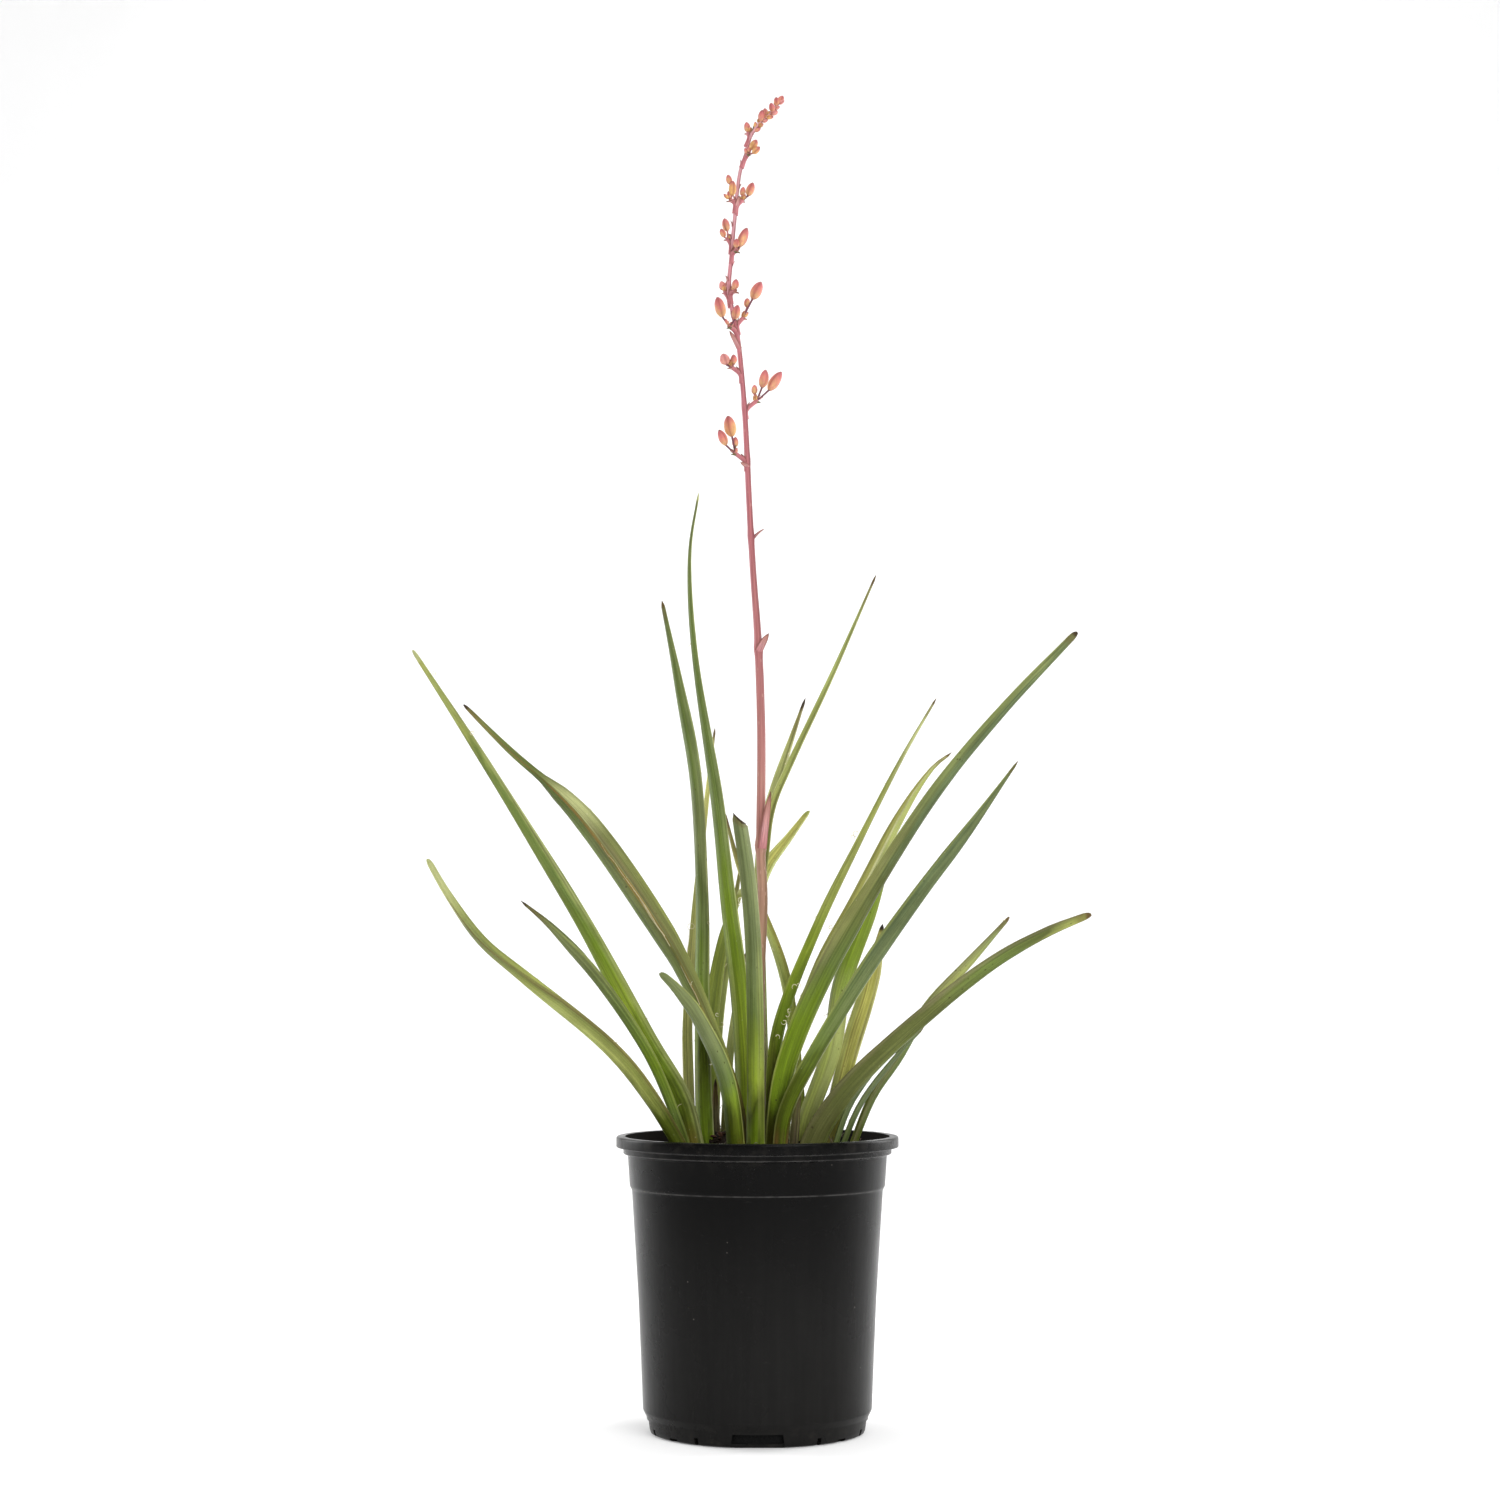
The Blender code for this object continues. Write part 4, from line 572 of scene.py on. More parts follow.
# Pale threads that curl at the margins: leaf, place as (across, up), radius of the curl, the angle where it
# starts and how far it turns, both in degrees
THREADS = (
    ("leaf_left_back_thin", (-39.4, 297.4), 1.9, 190, 400),
    ("leaf_centre_right_long", (24.6, 262.6), 1.2, 150, -260),
    ("leaf_centre_right_long", (22.6, 261.6), 1.6, 20, 200),
    ("leaf_centre_right_long", (19.0, 247.6), 1.1, 80, 250),
    ("leaf_centre_right_long", (17.8, 244.6), 1.3, 200, 250),
    ("leaf_centre_right_long", (16.0, 240.6), 1.4, 120, -300),
    ("leaf_centre_right_long", (11.8, 231.8), 1.3, 170, -220),
    ("leaf_centre_right_thin", (59.4, 353.4), 1.8, 30, 240),
    ("leaf_centre_right_thin", (57.0, 351.0), 1.3, 210, -260),
    ("leaf_centre_right_long", (43.6, 297.0), 1.1, 100, 380),
    ("leaf_centre_tallest", (-9.9, 313.6), 1.6, 60, 210),
    ("leaf_centre_tallest", (-10.2, 310.6), 1.4, 250, -200),
    ("leaf_centre_left", (-21.6, 239.4), 1.5, 90, -210),
    ("leaf_centre_left", (-24.0, 245.0), 1.0, 10, 300),
    ("leaf_left_long", (-195.0, 449.6), 1.0, 120, 380),
    ("leaf_left_long", (-171.8, 413.8), 1.2, 20, 400),
    ("leaf_back_olive", (17.2, 396.0), 1.6, 240, 210),
    ("leaf_back_olive", (19.6, 401.0), 1.2, 60, 240),
    ("leaf_right_folded", (42.0, 236.0), 1.4, 100, 260),
    ("leaf_left_tall", (-29.0, 300.0), 1.0, 60, 260),
)
LOOSE_THREADS = 40
CLINGING_LEAVES = ("leaf_centre_left", "leaf_right_folded", "leaf_left_back_thin")

# The stalk: its path as (across, depth, up) and its radius from base to tip
STALK_PATH = (
    (1.8, 3, 164), (1, 2.4, 220), (1.3, 2, 269), (3.2, 1, 313), (2, 0, 346), (2.4, 0, 410), (0.7, 0, 465),
    (-2.6, 0, 513), (-4.8, 0, 552), (-6.8, 0, 596), (-9, 0, 628), (-12, 1, 656), (-17, 1, 683), (-16, 1, 703),
    (-14, 0, 726), (-11, 0, 755), (-7, 0, 769), (-4, 0, 780), (2, 0, 789), (8, 0, 794), (13, 0, 801),
)
STALK_RADII = (3.6, 3.4, 3.2, 2.8, 2.5, 2.4, 1.9, 1.75, 1.5, 1.3, 1.1, 0.9)
STALK_NODES = ((346, 1.30), (465, 1.22), (533, 1.15), (580, 1.15), (612, 1.15), (660, 1.15))
NODE_REACH = 6.4
STALK_GROWTH = 1.06
STALK_STEP = 2.6
STALK_SIDES = 20
FLUTES = 5
FLUTE_DEPTH = 0.035
FLUTE_TWIST = 3

# Clasping scales: base and tip as (across, depth, up), width, and 1 for a dark dry one
SCALES = (
    ((3.0, -2.5, 346), (6.3, -4.6, 379), 6.2, 0.0),
    ((1.4, -2.0, 465), (6.2, -3.0, 475), 5.4, 0.0),
    ((-2.5, 0.5, 533), (1.8, -1.0, 540), 3.8, 0.0),
    ((-6.3, -0.5, 577), (-9.6, -1.2, 580), 3.4, 0.0),
    ((-11.9, -0.5, 650), (-16.4, -3.2, 660.5), 4.2, 0.0),
    ((-12.8, -0.6, 737), (-11.5, -3.2, 744), 3.0, 0.0),
)

# Heights of the small scales, and how a scale is shaped
SMALL_SCALES = (641, 668, 690, 700, 716, 724, 748, 762, 775, 783, 790, 796)
SCALE_ROWS = 8
SCALE_COLUMNS = 8
SCALE_THICKNESS = 0.28
SCALE_POWER = 2.2
SCALE_FULLNESS = 0.8
SCALE_POINT = 0.08
SCALE_STAND = 0.9
SCALE_HUG = 0.75
SCALE_SUNK = 1.5
SCALE_CLEAR = 0.35
SMALL_CLEAR = 0.2
SMALL_SCALE = (3.4, 2.6)
SCALE_KINDS = (0.0, 0.0, 1.0)
ELBOW_SUNK = 1.6
ELBOW_SCALE = (5.0, 4.2)
FOOT_CLEAR = 0.25
FOOT_SCALE = (5.2, 3.8)
JOINT_CLEAR = 0.1
JOINT_SCALE = (2.4, 2.0)
SCALE_SLOT = 1
BUD_SLOT = 2

# Buds: three petals with seams, the girth from base to tip, and how much small and large ones are enlarged
BUD_SIDES = 24
BUD_ROWS = 16
PETALS = 3
BUD_SEAM = 0.09
SEAM_POWER = 8
SEAM_MARK = 6
BUD_LOBE = 0.035
BUD_CHANCES = (0.15, 0.85)
BUD_GIRTH = (0.32, 0.68, 0.89, 0.98, 1.0, 0.97, 0.89, 0.76, 0.55, 0.18)
SMALL_BUD = 4.5
BUD_GROWTH = (1.22, 1.06)

# The tone of a spray's first bud, where it is set: pale pink at 0, peach at 1
BUD_TONES = {"bud_spray_03": 0.0, "bud_spray_06": 0.05, "bud_spray_09": 0.1, "bud_spray_11": 0.9,
             "bud_spray_12": 0.95, "bud_spray_13": 0.15}

# Bud sprays: foot on the stalk, then buds as (base, tip, width); a bud's own stem runs to the foot
SPRAYS = (
    dict(name="bud_spray_01", height=580, elbow=(-13.4, -4, 584), buds=(
        ((-15.3, -6, 594.4), (-17.8, -8, 607.0), 7.2),
        ((-19.0, -7, 589.1), (-23.2, -10, 598.4), 5.2),
        ((-13.4, -3, 588.0), (-13.2, -3, 594.0), 3.4))),
    dict(name="bud_spray_02", height=612, elbow=(-0.6, 4, 616), buds=(
        ((7.1, 8, 622.9), (14.7, 11, 634.0), 6.2),
        ((2.9, 5, 624.5), (5.1, 6, 635.3), 5.8),
        ((-1.8, 5, 620.5), (-1.6, 7, 626.0), 3.2))),
    dict(name="bud_spray_03", height=634, elbow=(-15.6, -2, 637), buds=(
        ((-18.8, -4, 638.6), (-21.0, -5, 645.3), 6.0),
        ((-14.0, -4, 639.2), (-14.4, -6, 644.8), 3.4))),
    dict(name="bud_spray_04", height=660, elbow=(-16.8, -4, 662), buds=(
        ((-21.1, -6, 668.0), (-24.3, -8, 680.3), 6.4),
        ((-13.6, -7, 666.7), (-11.9, -9, 675.4), 4.9))),
    dict(name="bud_spray_05", height=664, elbow=(-9.0, 3, 667), buds=(
        ((-2.9, 4, 679.1), (2.3, 5, 689.6), 6.6),
        ((-6.2, 6, 674.0), (-6.0, 8, 679.5), 3.4))),
    dict(name="bud_spray_06", height=681, elbow=(-19.6, 3, 683), buds=(
        ((-20.4, 4, 684.6), (-22.0, 5, 690.0), 3.8),
        ((-17.8, 6, 685.4), (-17.4, 8, 691.0), 3.4))),
    dict(name="bud_spray_07", height=683, elbow=(-13.6, -3, 684), buds=(
        ((-13.8, -4, 685.2), (-12.8, -5, 691.4), 3.8),)),
    dict(name="bud_spray_08", height=708, elbow=(-12.6, -3, 709), buds=(
        ((-10.8, -5, 711.6), (-6.2, -6, 723.1), 5.6),
        ((-13.0, -6, 711.0), (-12.6, -8, 716.5), 3.2))),
    dict(name="bud_spray_09", height=714, elbow=(-18.0, 2, 716), buds=(
        ((-18.2, 3, 721.3), (-20.0, 4, 729.0), 4.0),
        ((-20.0, 1, 717.5), (-22.2, 0, 722.6), 3.2))),
    dict(name="bud_spray_10", height=738, elbow=(-9.4, 3, 740), buds=(
        ((-5.6, 4, 743.2), (-2.6, 5, 751.2), 5.0),
        ((-9.2, 6, 743.2), (-8.4, 8, 748.6), 3.0))),
    dict(name="bud_spray_11", height=739, elbow=(-16.2, -3, 740.5), buds=(
        ((-15.4, -4, 743.2), (-14.9, -5, 752.4), 4.0),
        ((-16.6, -3, 750.4), (-18.0, -3, 756.2), 3.2))),
    dict(name="bud_spray_12", height=767, elbow=(-5.4, -3, 769), buds=(
        ((-3.8, -4, 772.0), (-0.3, -5, 778.0), 4.0),
        ((-2.8, -5, 769.6), (1.6, -7, 773.6), 3.2))),
    dict(name="bud_spray_13", height=780, elbow=(-5.6, 3, 782), buds=(
        ((-5.8, 4, 783.0), (-6.6, 5, 789.0), 3.4),)),
)
DARK_SPRAYS = ("bud_spray_01", "bud_spray_02", "bud_spray_04", "bud_spray_08", "bud_spray_12")
BRANCH_RADIUS = 1.1
BRANCH_SIDES = 12
ELBOW_RADIUS = BRANCH_RADIUS * 1.15
BRANCH_FLARE = (1.45, 0.45)
BRANCH_FUSED = 7.0
BRANCH_FOOT = 0.4
BRANCH_BEND = 0.75
BEND_DROP = 1.2
STEM_PAST = 0.6
PEDICEL_RADIUS = 0.7
PEDICEL_SIDES = 10
PEDICEL_FLARE = (0.8, 0.45)
PEDICEL_SAG = 0.04
SMALL_PEDICEL = 0.9
LEAST_JOINT = 3
CLUSTER_BUDS = 2
CLUSTER_LENGTHS = (3.0, 4.6)
CLUSTER_WIDTHS = (1.6, 2.1)
CLUSTER_SPREAD = (-1.5, 1.0)
CLUSTER_LIFT = 0.8
CLUSTER_LEAN = 0.3
CLUSTER_TONES = (0.1, 0.9, 1.0)

# Extra buds down from the spike's tip: how many, the first one's place, their step, lean, lengths and widths
TIP_CLUSTER = 13
TIP_START = 0.6
TIP_STEP = 1.9
TIP_LEAN = 0.7
TIP_LENGTHS = (3.2, 4.6)
TIP_WIDTHS = (2.0, 2.7)
TIP_CLEAR = 0.3
TIP_TONES = (0.0, 0.5, 0.9, 1.0)

# The buds crowded at the spike's tip, fused to the stalk's own node: base, tip and width
TIP_BUDS = (
    ((2.0, -0.4, 789.6), (3.2, -4, 796.6), 3.4),
    ((5.6, 1, 792.2), (4.6, 4, 797.6), 3.0),
    ((8.6, 0, 794.6), (12.4, 3, 795.6), 3.2),
    ((9.6, 0, 795.8), (8.4, -4, 801.0), 3.2),
    ((12.2, 0, 800.0), (11.6, -3, 804.6), 3.0),
    ((12.8, 0, 800.4), (15.8, 1, 805.4), 3.4),
)
TIP_STEM = (0.7, 0.6, 0.7)
TIP_STEM_DROP = 2.0
TIP_STEM_SIDES = 8
TIP_STEM_TONE = 0.8

# Heights of thin painted highlight lines along the pot's steps, in metres
PAINTED_HIGHLIGHT_LINES = (0.1428, 0.1630, 0.1662)
HIGHLIGHT_HALF = 0.00035
HIGHLIGHT_SOFT = 0.0003

# Studio: each light's name, place, the point that it faces, its size and its power in watts
LIGHTS = (
    ("softbox_left", (-1.85, 1.05, 0.95), (0.0, 0.0, 0.35), (1.1, 1.7), 38.0),
    ("softbox_right", (1.85, 1.05, 0.95), (0.0, 0.0, 0.35), (1.1, 1.7), 36.0),
    ("softbox_front", (1.0, -2.1, 1.3), (0.0, 0.0, 0.25), (1.5, 1.3), 38.0),
    ("softbox_top", (0.0, 0.1, 2.6), (0.0, 0.0, 0.3), (2.0, 2.0), 22.0),
)
WORLD_STRENGTH = 0.45
SWEEP_SHADE = 0.78
SWEEP_GLOW = 0.20
SWEEP_FRONT = -2.6
SWEEP_BEND = 1.4
SWEEP_RADIUS = 0.9
SWEEP_STEPS = 12
SWEEP_TOP = 3.4
SWEEP_HALF = 3.6


class Paint:
    """A material, with short calls that add linked nodes to it."""

    def __init__(self, name):
        self.material = bpy.data.materials.new(name)
        self.material.use_nodes = True
        self.tree = self.material.node_tree
        self.shader = self.tree.nodes["Principled BSDF"]

    def put(self, socket, value):
        """Link a socket to another one, or give it a value."""
        if isinstance(value, bpy.types.NodeSocket):
            self.tree.links.new(value, socket)
        elif socket.type == "RGBA":
            socket.default_value = (*value, 1.0)
        else:
            socket.default_value = value

    def node(self, kind, sockets, out=0, **settings):
        """An output of a new node, with its settings and its sockets linked or given values."""
        made = self.tree.nodes.new("ShaderNode" + kind)
        for name, value in settings.items():
            setattr(made, name, value)
        for key, value in sockets.items():
            self.put(made.inputs[key], value)
        return made.outputs[out]

    def math(self, operation, first, second=0.5):
        return self.node("Math", {0: first, 1: second}, operation=operation)

    def split(self, vector):
        """The x, y and z of a vector."""
        node = self.tree.nodes.new("ShaderNodeSeparateXYZ")
        self.put(node.inputs[0], vector)
        return tuple(node.outputs)

    def attribute(self, name):
        """The x, y and z of a vector attribute."""
        return self.split(self.node("Attribute", {}, "Vector", attribute_name=name))

    def number(self, name):
        """A number attribute."""
        return self.node("Attribute", {}, "Fac", attribute_name=name)

    def place(self):
        """The x, y and z of the surface, in metres."""
        return self.split(self.node("TexCoord", {}, "Object"))

    def vector(self, x, y, z, stretch=(1.0, 1.0, 1.0)):
        """A vector from three numbers, each times its stretch."""
        parts = {}
        for index, (value, factor) in enumerate(zip((x, y, z), stretch)):
            parts[index] = value if factor == 1.0 else self.math("MULTIPLY", value, factor)
        return self.node("CombineXYZ", parts)

    def noise(self, vector, scale=1.0, detail=3.0, rough=0.55):
        sockets = {"Vector": vector, "Scale": scale, "Detail": detail, "Roughness": rough}
        return self.node("TexNoise", sockets, "Fac")

    def mottle(self, scale=1.0, stretch=(1.0, 1.0, 1.0), detail=3.0, rough=0.55):
        """Noise over the surface's place."""
        return self.noise(self.vector(*self.place(), stretch), scale, detail, rough)

    def cells(self, vector, scale=1.0):
        """How far the nearest of many scattered spots is."""
        return self.node("TexVoronoi", {"Vector": vector, "Scale": scale}, "Distance")

    def band(self, value, start, end, low=0.0, high=1.0):
        """A smooth step of a value from start, where it is low, to end, where it is high."""
        sockets = dict(enumerate((value, start, end, low, high)))
        return self.node("MapRange", sockets, interpolation_type="SMOOTHSTEP")

    def within(self, value, start, end, soft):
        """1 where a value is between start and end, with soft ends."""
        rise = self.band(value, start - soft, start + soft)
        fall = self.band(value, end - soft, end + soft, 1.0, 0.0)
        return self.math("MULTIPLY", rise, fall)

    def times(self, *values):
        found = values[0]
        for value in values[1:]:
            found = self.math("MULTIPLY", found, value)
        return found

    def mix(self, share, first, second, blend="MIX"):
        return self.node("Mix", {0: share, 6: first, 7: second}, 2, data_type="RGBA", blend_type=blend)

    def lay(self, colour, tint, *shares):
        """The colour with a tint laid over it, as strong as the shares' product."""
        return self.mix(self.times(*shares), colour, tint)

    def ramp(self, value, stops):
        """A colour that runs through stops of (place, colour)."""
        node = self.tree.nodes.new("ShaderNodeValToRGB")
        marks = node.color_ramp.elements
        while len(marks) < len(stops):
            marks.new(0.5)
        for mark, (spot, colour) in zip(marks, stops):
            mark.position = spot
            mark.color = (*colour, 1.0)
        self.put(node.inputs[0], value)
        return node.outputs[0]

    def shade(self, colour, value, low, high):
        """The colour, made from low to high times as bright by a value about one half."""
        bright = self.band(value, 0.3, 0.7, low, high)
        grey = self.node("CombineColor", {0: bright, 1: bright, 2: bright})
        return self.mix(1.0, colour, grey, "MULTIPLY")

    def finish(self, colour, roughness, relief=(), specular=0.5):
        """The surface's colour and roughness, and bumps of (height, depth in metres)."""
        self.put(self.shader.inputs["Base Color"], colour)
        self.put(self.shader.inputs["Roughness"], roughness)
        self.shader.inputs["Specular IOR Level"].default_value = specular
        bumps = {}
        for height, depth in relief:
            bumps.update({"Strength": 1.0, "Distance": depth, "Height": height})
            bumps["Normal"] = self.node("Bump", bumps)
        if bumps:
            self.put(self.shader.inputs["Normal"], bumps["Normal"])
        return self.material


def linked(name, data):
    """A new object of the scene."""
    made = bpy.data.objects.new(name, data)
    bpy.context.scene.collection.objects.link(made)
    return made


def squared(vector, direction):
    """The part of a vector that is square to a direction, one long."""
    return (vector - direction * vector.dot(direction)).normalized()


def inside_box(point):
    """The point in metres, held within the CAD model's box."""
    low, high = cad_box
    spot = Vector(point) * MM
    return Vector(min(max(value, least), most) for value, least, most in zip(spot, low, high))


class Bundle:
    """Points, faces and per-point marks of a piece that is made of many closed bodies."""

    def __init__(self):
        self.points = []
        self.faces = []
        self.marks = []
        self.tones = []
        self.slots = []

    def add(self, points, faces, marks, tones, slot=0):
        first = len(self.points)
        self.points.extend(points)
        self.faces.extend(tuple(first + index for index in face) for face in faces)
        self.marks.extend(marks)
        self.tones.extend(tones)
        self.slots.extend([slot] * len(faces))

    def piece(self, name, materials, nodes=(), sharp=50):
        """The piece of this bundle, riding on the object's body."""
        mesh = bpy.data.meshes.new(name)
        mesh.from_pydata([inside_box(point) for point in self.points], [], self.faces)
        layer = mesh.attributes.new("mark", "FLOAT_VECTOR", "POINT")
        layer.data.foreach_set("vector", [number for mark in self.marks for number in mark])
        layer = mesh.attributes.new("tone", "FLOAT", "POINT")
        layer.data.foreach_set("value", self.tones)
        for skin in materials:
            mesh.materials.append(skin)
        mesh.polygons.foreach_set("material_index", self.slots)
        mesh.shade_smooth()
        mesh.set_sharp_from_angle(angle=math.radians(sharp))
        made = linked(name, mesh)
        if nodes:
            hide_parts(*nodes)
        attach(made, "root")
        return made


def lofted(rings):
    """Points and faces of a closed body through rings of points, each end closed by a flat face."""
    sides = len(rings[0])
    points = [point for ring in rings for point in ring]
    faces = []
    for row in range(len(rings) - 1):
        for side in range(sides):
            here = row * sides + side
            beside = row * sides + (side + 1) % sides
            faces.append((here, beside, beside + sides, here + sides))
    last = (len(rings) - 1) * sides
    faces.append(tuple(reversed(range(sides))))
    faces.append(tuple(range(last, last + sides)))
    return points, faces


def turned(profile, segments, height_at=None):
    """Points and faces of a profile of (radius, height) turned about Z, both its ends on the axis."""
    points = [(0.0, 0.0, profile[0][1])]
    for radius, height in profile[1:-1]:
        for step in range(segments):
            angle = math.tau * step / segments
            x, y = radius * math.cos(angle), radius * math.sin(angle)
            points.append((x, y, height_at(x, y, height) if height_at else height))
    top = profile[-1][1]
    points.append((0.0, 0.0, height_at(0.0, 0.0, top) if height_at else top))
    rings = len(profile) - 2
    faces = []
    for step in range(segments):
        after = (step + 1) % segments
        faces.append((0, 1 + after, 1 + step))
        for ring in range(rings - 1):
            low = 1 + ring * segments
            high = low + segments
            faces.append((low + step, low + after, high + after, high + step))
        outer = 1 + (rings - 1) * segments
        faces.append((outer + step, outer + after, len(points) - 1))
    return points, faces


def place(point):
    """The real place of a point that is drawn as (across, depth, up)."""
    across, depth, up = point
    seen = Vector((across, 0.0, up))
    return EYE + (seen - EYE) * ((depth - EYE.y) / -EYE.y)


def smooth_path(points, fine=10):
    """A dense Catmull-Rom curve through the points."""
    ends = [points[0] * 2 - points[1], *points, points[-1] * 2 - points[-2]]
    dense = []
    for before, start, end, after in zip(ends, ends[1:], ends[2:], ends[3:]):
        for step in range(fine):
            t = step / fine
            dense.append(0.5 * (
                2 * start
                + (end - before) * t
                + (2 * before - 5 * start + 4 * end - after) * t * t
                + (3 * start - before - 3 * end + after) * t * t * t
            ))
    dense.append(points[-1].copy())
    return dense


def along(dense, distances):
    """The places at the given distances along a dense path, each with its direction."""
    marks = [0.0]
    for start, end in zip(dense, dense[1:]):
        marks.append(marks[-1] + (end - start).length)
    slopes = []
    for index in range(len(dense)):
        before = dense[max(index - 1, 0)]
        after = dense[min(index + 1, len(dense) - 1)]
        slopes.append((after - before).normalized())
    found = []
    for distance in distances:
        index = 0
        while index < len(marks) - 2 and marks[index + 1] < distance:
            index += 1
        share = (distance - marks[index]) / (marks[index + 1] - marks[index])
        spot = dense[index].lerp(dense[index + 1], share)
        found.append((spot, slopes[index].lerp(slopes[index + 1], share).normalized()))
    return found


def path_length(dense):
    """The length of a dense path."""
    return sum((end - start).length for start, end in zip(dense, dense[1:]))


def between(values, share):
    """A value read smoothly from values at even shares of the way."""
    place_along = min(max(share, 0.0), 1.0) * (len(values) - 1)
    index = min(int(place_along), len(values) - 2)
    rest = place_along - index
    ease = rest * rest * (3 - 2 * rest)
    blend = 0.5 * (rest + ease)
    return values[index] * (1 - blend) + values[index + 1] * blend


def blade_frame(direction, roll):
    """The inward and sideways directions of a blade whose channel is rolled from facing the front."""
    front = squared(FRONT, direction)
    right = direction.cross(front)
    angle = math.radians(roll)
    inward = front * math.cos(angle) + right * math.sin(angle)
    return inward, inward.cross(direction)


def section(width):
    """A channelled blade's outline as (sideways, inward, share across, 0 outside to 1 in the channel)."""
    channel = CHANNEL_SHARE * width
    thick = max(THICK_SHARE * width, LEAST_THICKNESS)
    margin = max(MARGIN_SHARE * width, LEAST_MARGIN)
    rise = (channel - thick) / 2
    half = width / 2
    reach = 1 - margin / width
    shares = [reach * (2 * step / FACE_STEPS - 1) for step in range(FACE_STEPS + 1)]
    outline = []
    for share in shares:
        depth = margin + (thick - margin) * (1 - share * share)
        outline.append((share * half, channel * share * share - rise - depth, share, 0.0))
    middle = channel * reach * reach - rise - margin / 2
    edge = []
    for angle in EDGE_ANGLES:
        turn = math.radians(angle)
        edge.append((half + margin / 2 * (math.cos(turn) - 1), middle + margin / 2 * math.sin(turn), angle))
    outline.extend((side, inner, 1.0, (angle + 90) / 180) for side, inner, angle in edge)
    outline.extend((share * half, channel * share * share - rise, share, 1.0) for share in reversed(shares))
    outline.extend((-side, inner, -1.0, (angle + 90) / 180) for side, inner, angle in reversed(edge))
    return outline


def blade_ring(spot, direction, roll, seen, shrink=1.0, cut=None):
    """One ring of a blade that looks from EYE as wide as drawn and is centred there on its path.

    A cut is (slant, reach back from the tip): the ring leans by it, more on its right.
    """
    inward, sideways = blade_frame(direction, roll)
    across = direction.cross(spot - EYE).normalized()
    side, deep = sideways.dot(across), inward.dot(across)
    width = seen
    for _ in range(FIT_STEPS + 1):
        spans = [out * side + into * deep for out, into, _, _ in section(width)]
        reach = max(spans) - min(spans)
        middle = (max(spans) + min(spans)) / 2
        if abs(reach - seen) < FIT_CLOSE:
            break
        width = max(width * seen / reach, LEAST_WIDTH)
    centre = spot - across * middle
    ring = []
    for out, into, share, _ in section(width):
        point = centre + (sideways * out + inward * into) * shrink
        if cut:
            point -= direction * cut * (1 + share) / 2
        ring.append(point)
    return ring


def with_root(points):
    """The path's points, with a straight root below the soil's surface before them."""
    first = points[0] - points[1]
    return [points[0] + first.normalized() * ROOT_LENGTH, *points]


def leaf_skin(index, spec):
    """The skin of one leaf: its run of greens, streaks, margins, marks, specks, bloom and dry tip."""
    look = LOOKS[spec["name"]]
    surface = DRIED if spec["name"] in DRY else LIVING
    paint = Paint("skin_" + spec["name"])
    share, way, inside = paint.attribute("mark")
    run = paint.number("tone")

    def field(shift, stretch):
        """The place on this leaf as (across, along) times a stretch, in a field of noise of its own."""
        return paint.vector(share, run, FIELD_STEP * index + shift, (*stretch, 1.0))

    patchy = paint.noise(field(0.0, (0.9, 30.0)), detail=4.0)
    streaky = paint.noise(field(1.3, (7.0, 16.0)), detail=4.0)
    ribbed = paint.noise(field(2.1, (26.0, 5.0)), detail=2.0)
    grain = paint.noise(field(2.9, (22.0, 1400.0)), detail=2.0)
    drift = paint.band(patchy, 0.2, 0.8, -0.06, 0.06)
    across = paint.math("ADD", share, drift)
    colour = paint.ramp(paint.math("ADD", way, drift), look["run"])
    colour = paint.lay(colour, look["channel"], inside, 0.6)
    faces = (paint.math("SUBTRACT", 1.0, inside), inside, None)
    broken = paint.band(streaky, 0.25, 0.6, 0.5, 1.0)
    for start, end, low, high, face, tint, strength in look["marks"]:
        shares = [paint.within(way, start, end, 0.05), paint.within(across, low, high, 0.1), strength, broken]
        if faces[face]:
            shares.append(faces[face])
        colour = paint.lay(colour, tint, *shares)
    frayed = paint.band(streaky, 0.3, 0.55, 0.5, 1.0)
    for side, (tint, width, strength) in ((-1, look["minus"]), (1, look["plus"])):
        reach = paint.band(across, side * (1 - 1.6 * width), side * (1 - 0.4 * width))
        colour = paint.lay(colour, tint, reach, frayed, strength)
    colour = paint.shade(colour, streaky, *surface["streaks"])
    for noise, low, high in ((ribbed, 0.86, 1.14), (patchy, 0.84, 1.14), (grain, 0.92, 1.08)):
        colour = paint.shade(colour, noise, low, high)
    bloomed = (paint.band(patchy, 0.3, 0.65, 0.5, 1.0), paint.band(way, 0.1, 0.45))
    colour = paint.lay(colour, BLOOM, *bloomed, look["bloom"])
    spots = paint.cells(field(4.0, (2.6, 190.0)))
    colour = paint.lay(colour, DARK_BROWN, paint.band(spots, 0.17, 0.08), paint.band(patchy, 0.54, 0.62), 0.7)
    flecks = paint.cells(field(5.0, (3.4, 260.0)))
    colour = paint.lay(colour, CREAM, paint.band(flecks, 0.16, 0.07), paint.band(streaky, 0.6, 0.68), 0.5)
    tip_colour, tip_share = look["tip"]
    edge = paint.math("ADD", way, paint.times(drift, 0.1))
    colour = paint.lay(colour, tip_colour, paint.band(edge, 1 - 1.5 * tip_share, 1 - 0.7 * tip_share))
    if tip_colour in (BROWN, DARK_BROWN, BLACK):
        browned = paint.within(edge, 1 - 3.2 * tip_share, 1 - 0.9 * tip_share, tip_share)
        colour = paint.lay(colour, BROWN, browned, 0.5)
    relief = ((ribbed, 0.00022), (streaky, surface["depth"]), (grain, 0.00004))
    return paint.finish(colour, paint.band(streaky, 0.25, 0.75, *surface["rough"]), relief, surface["gloss"])


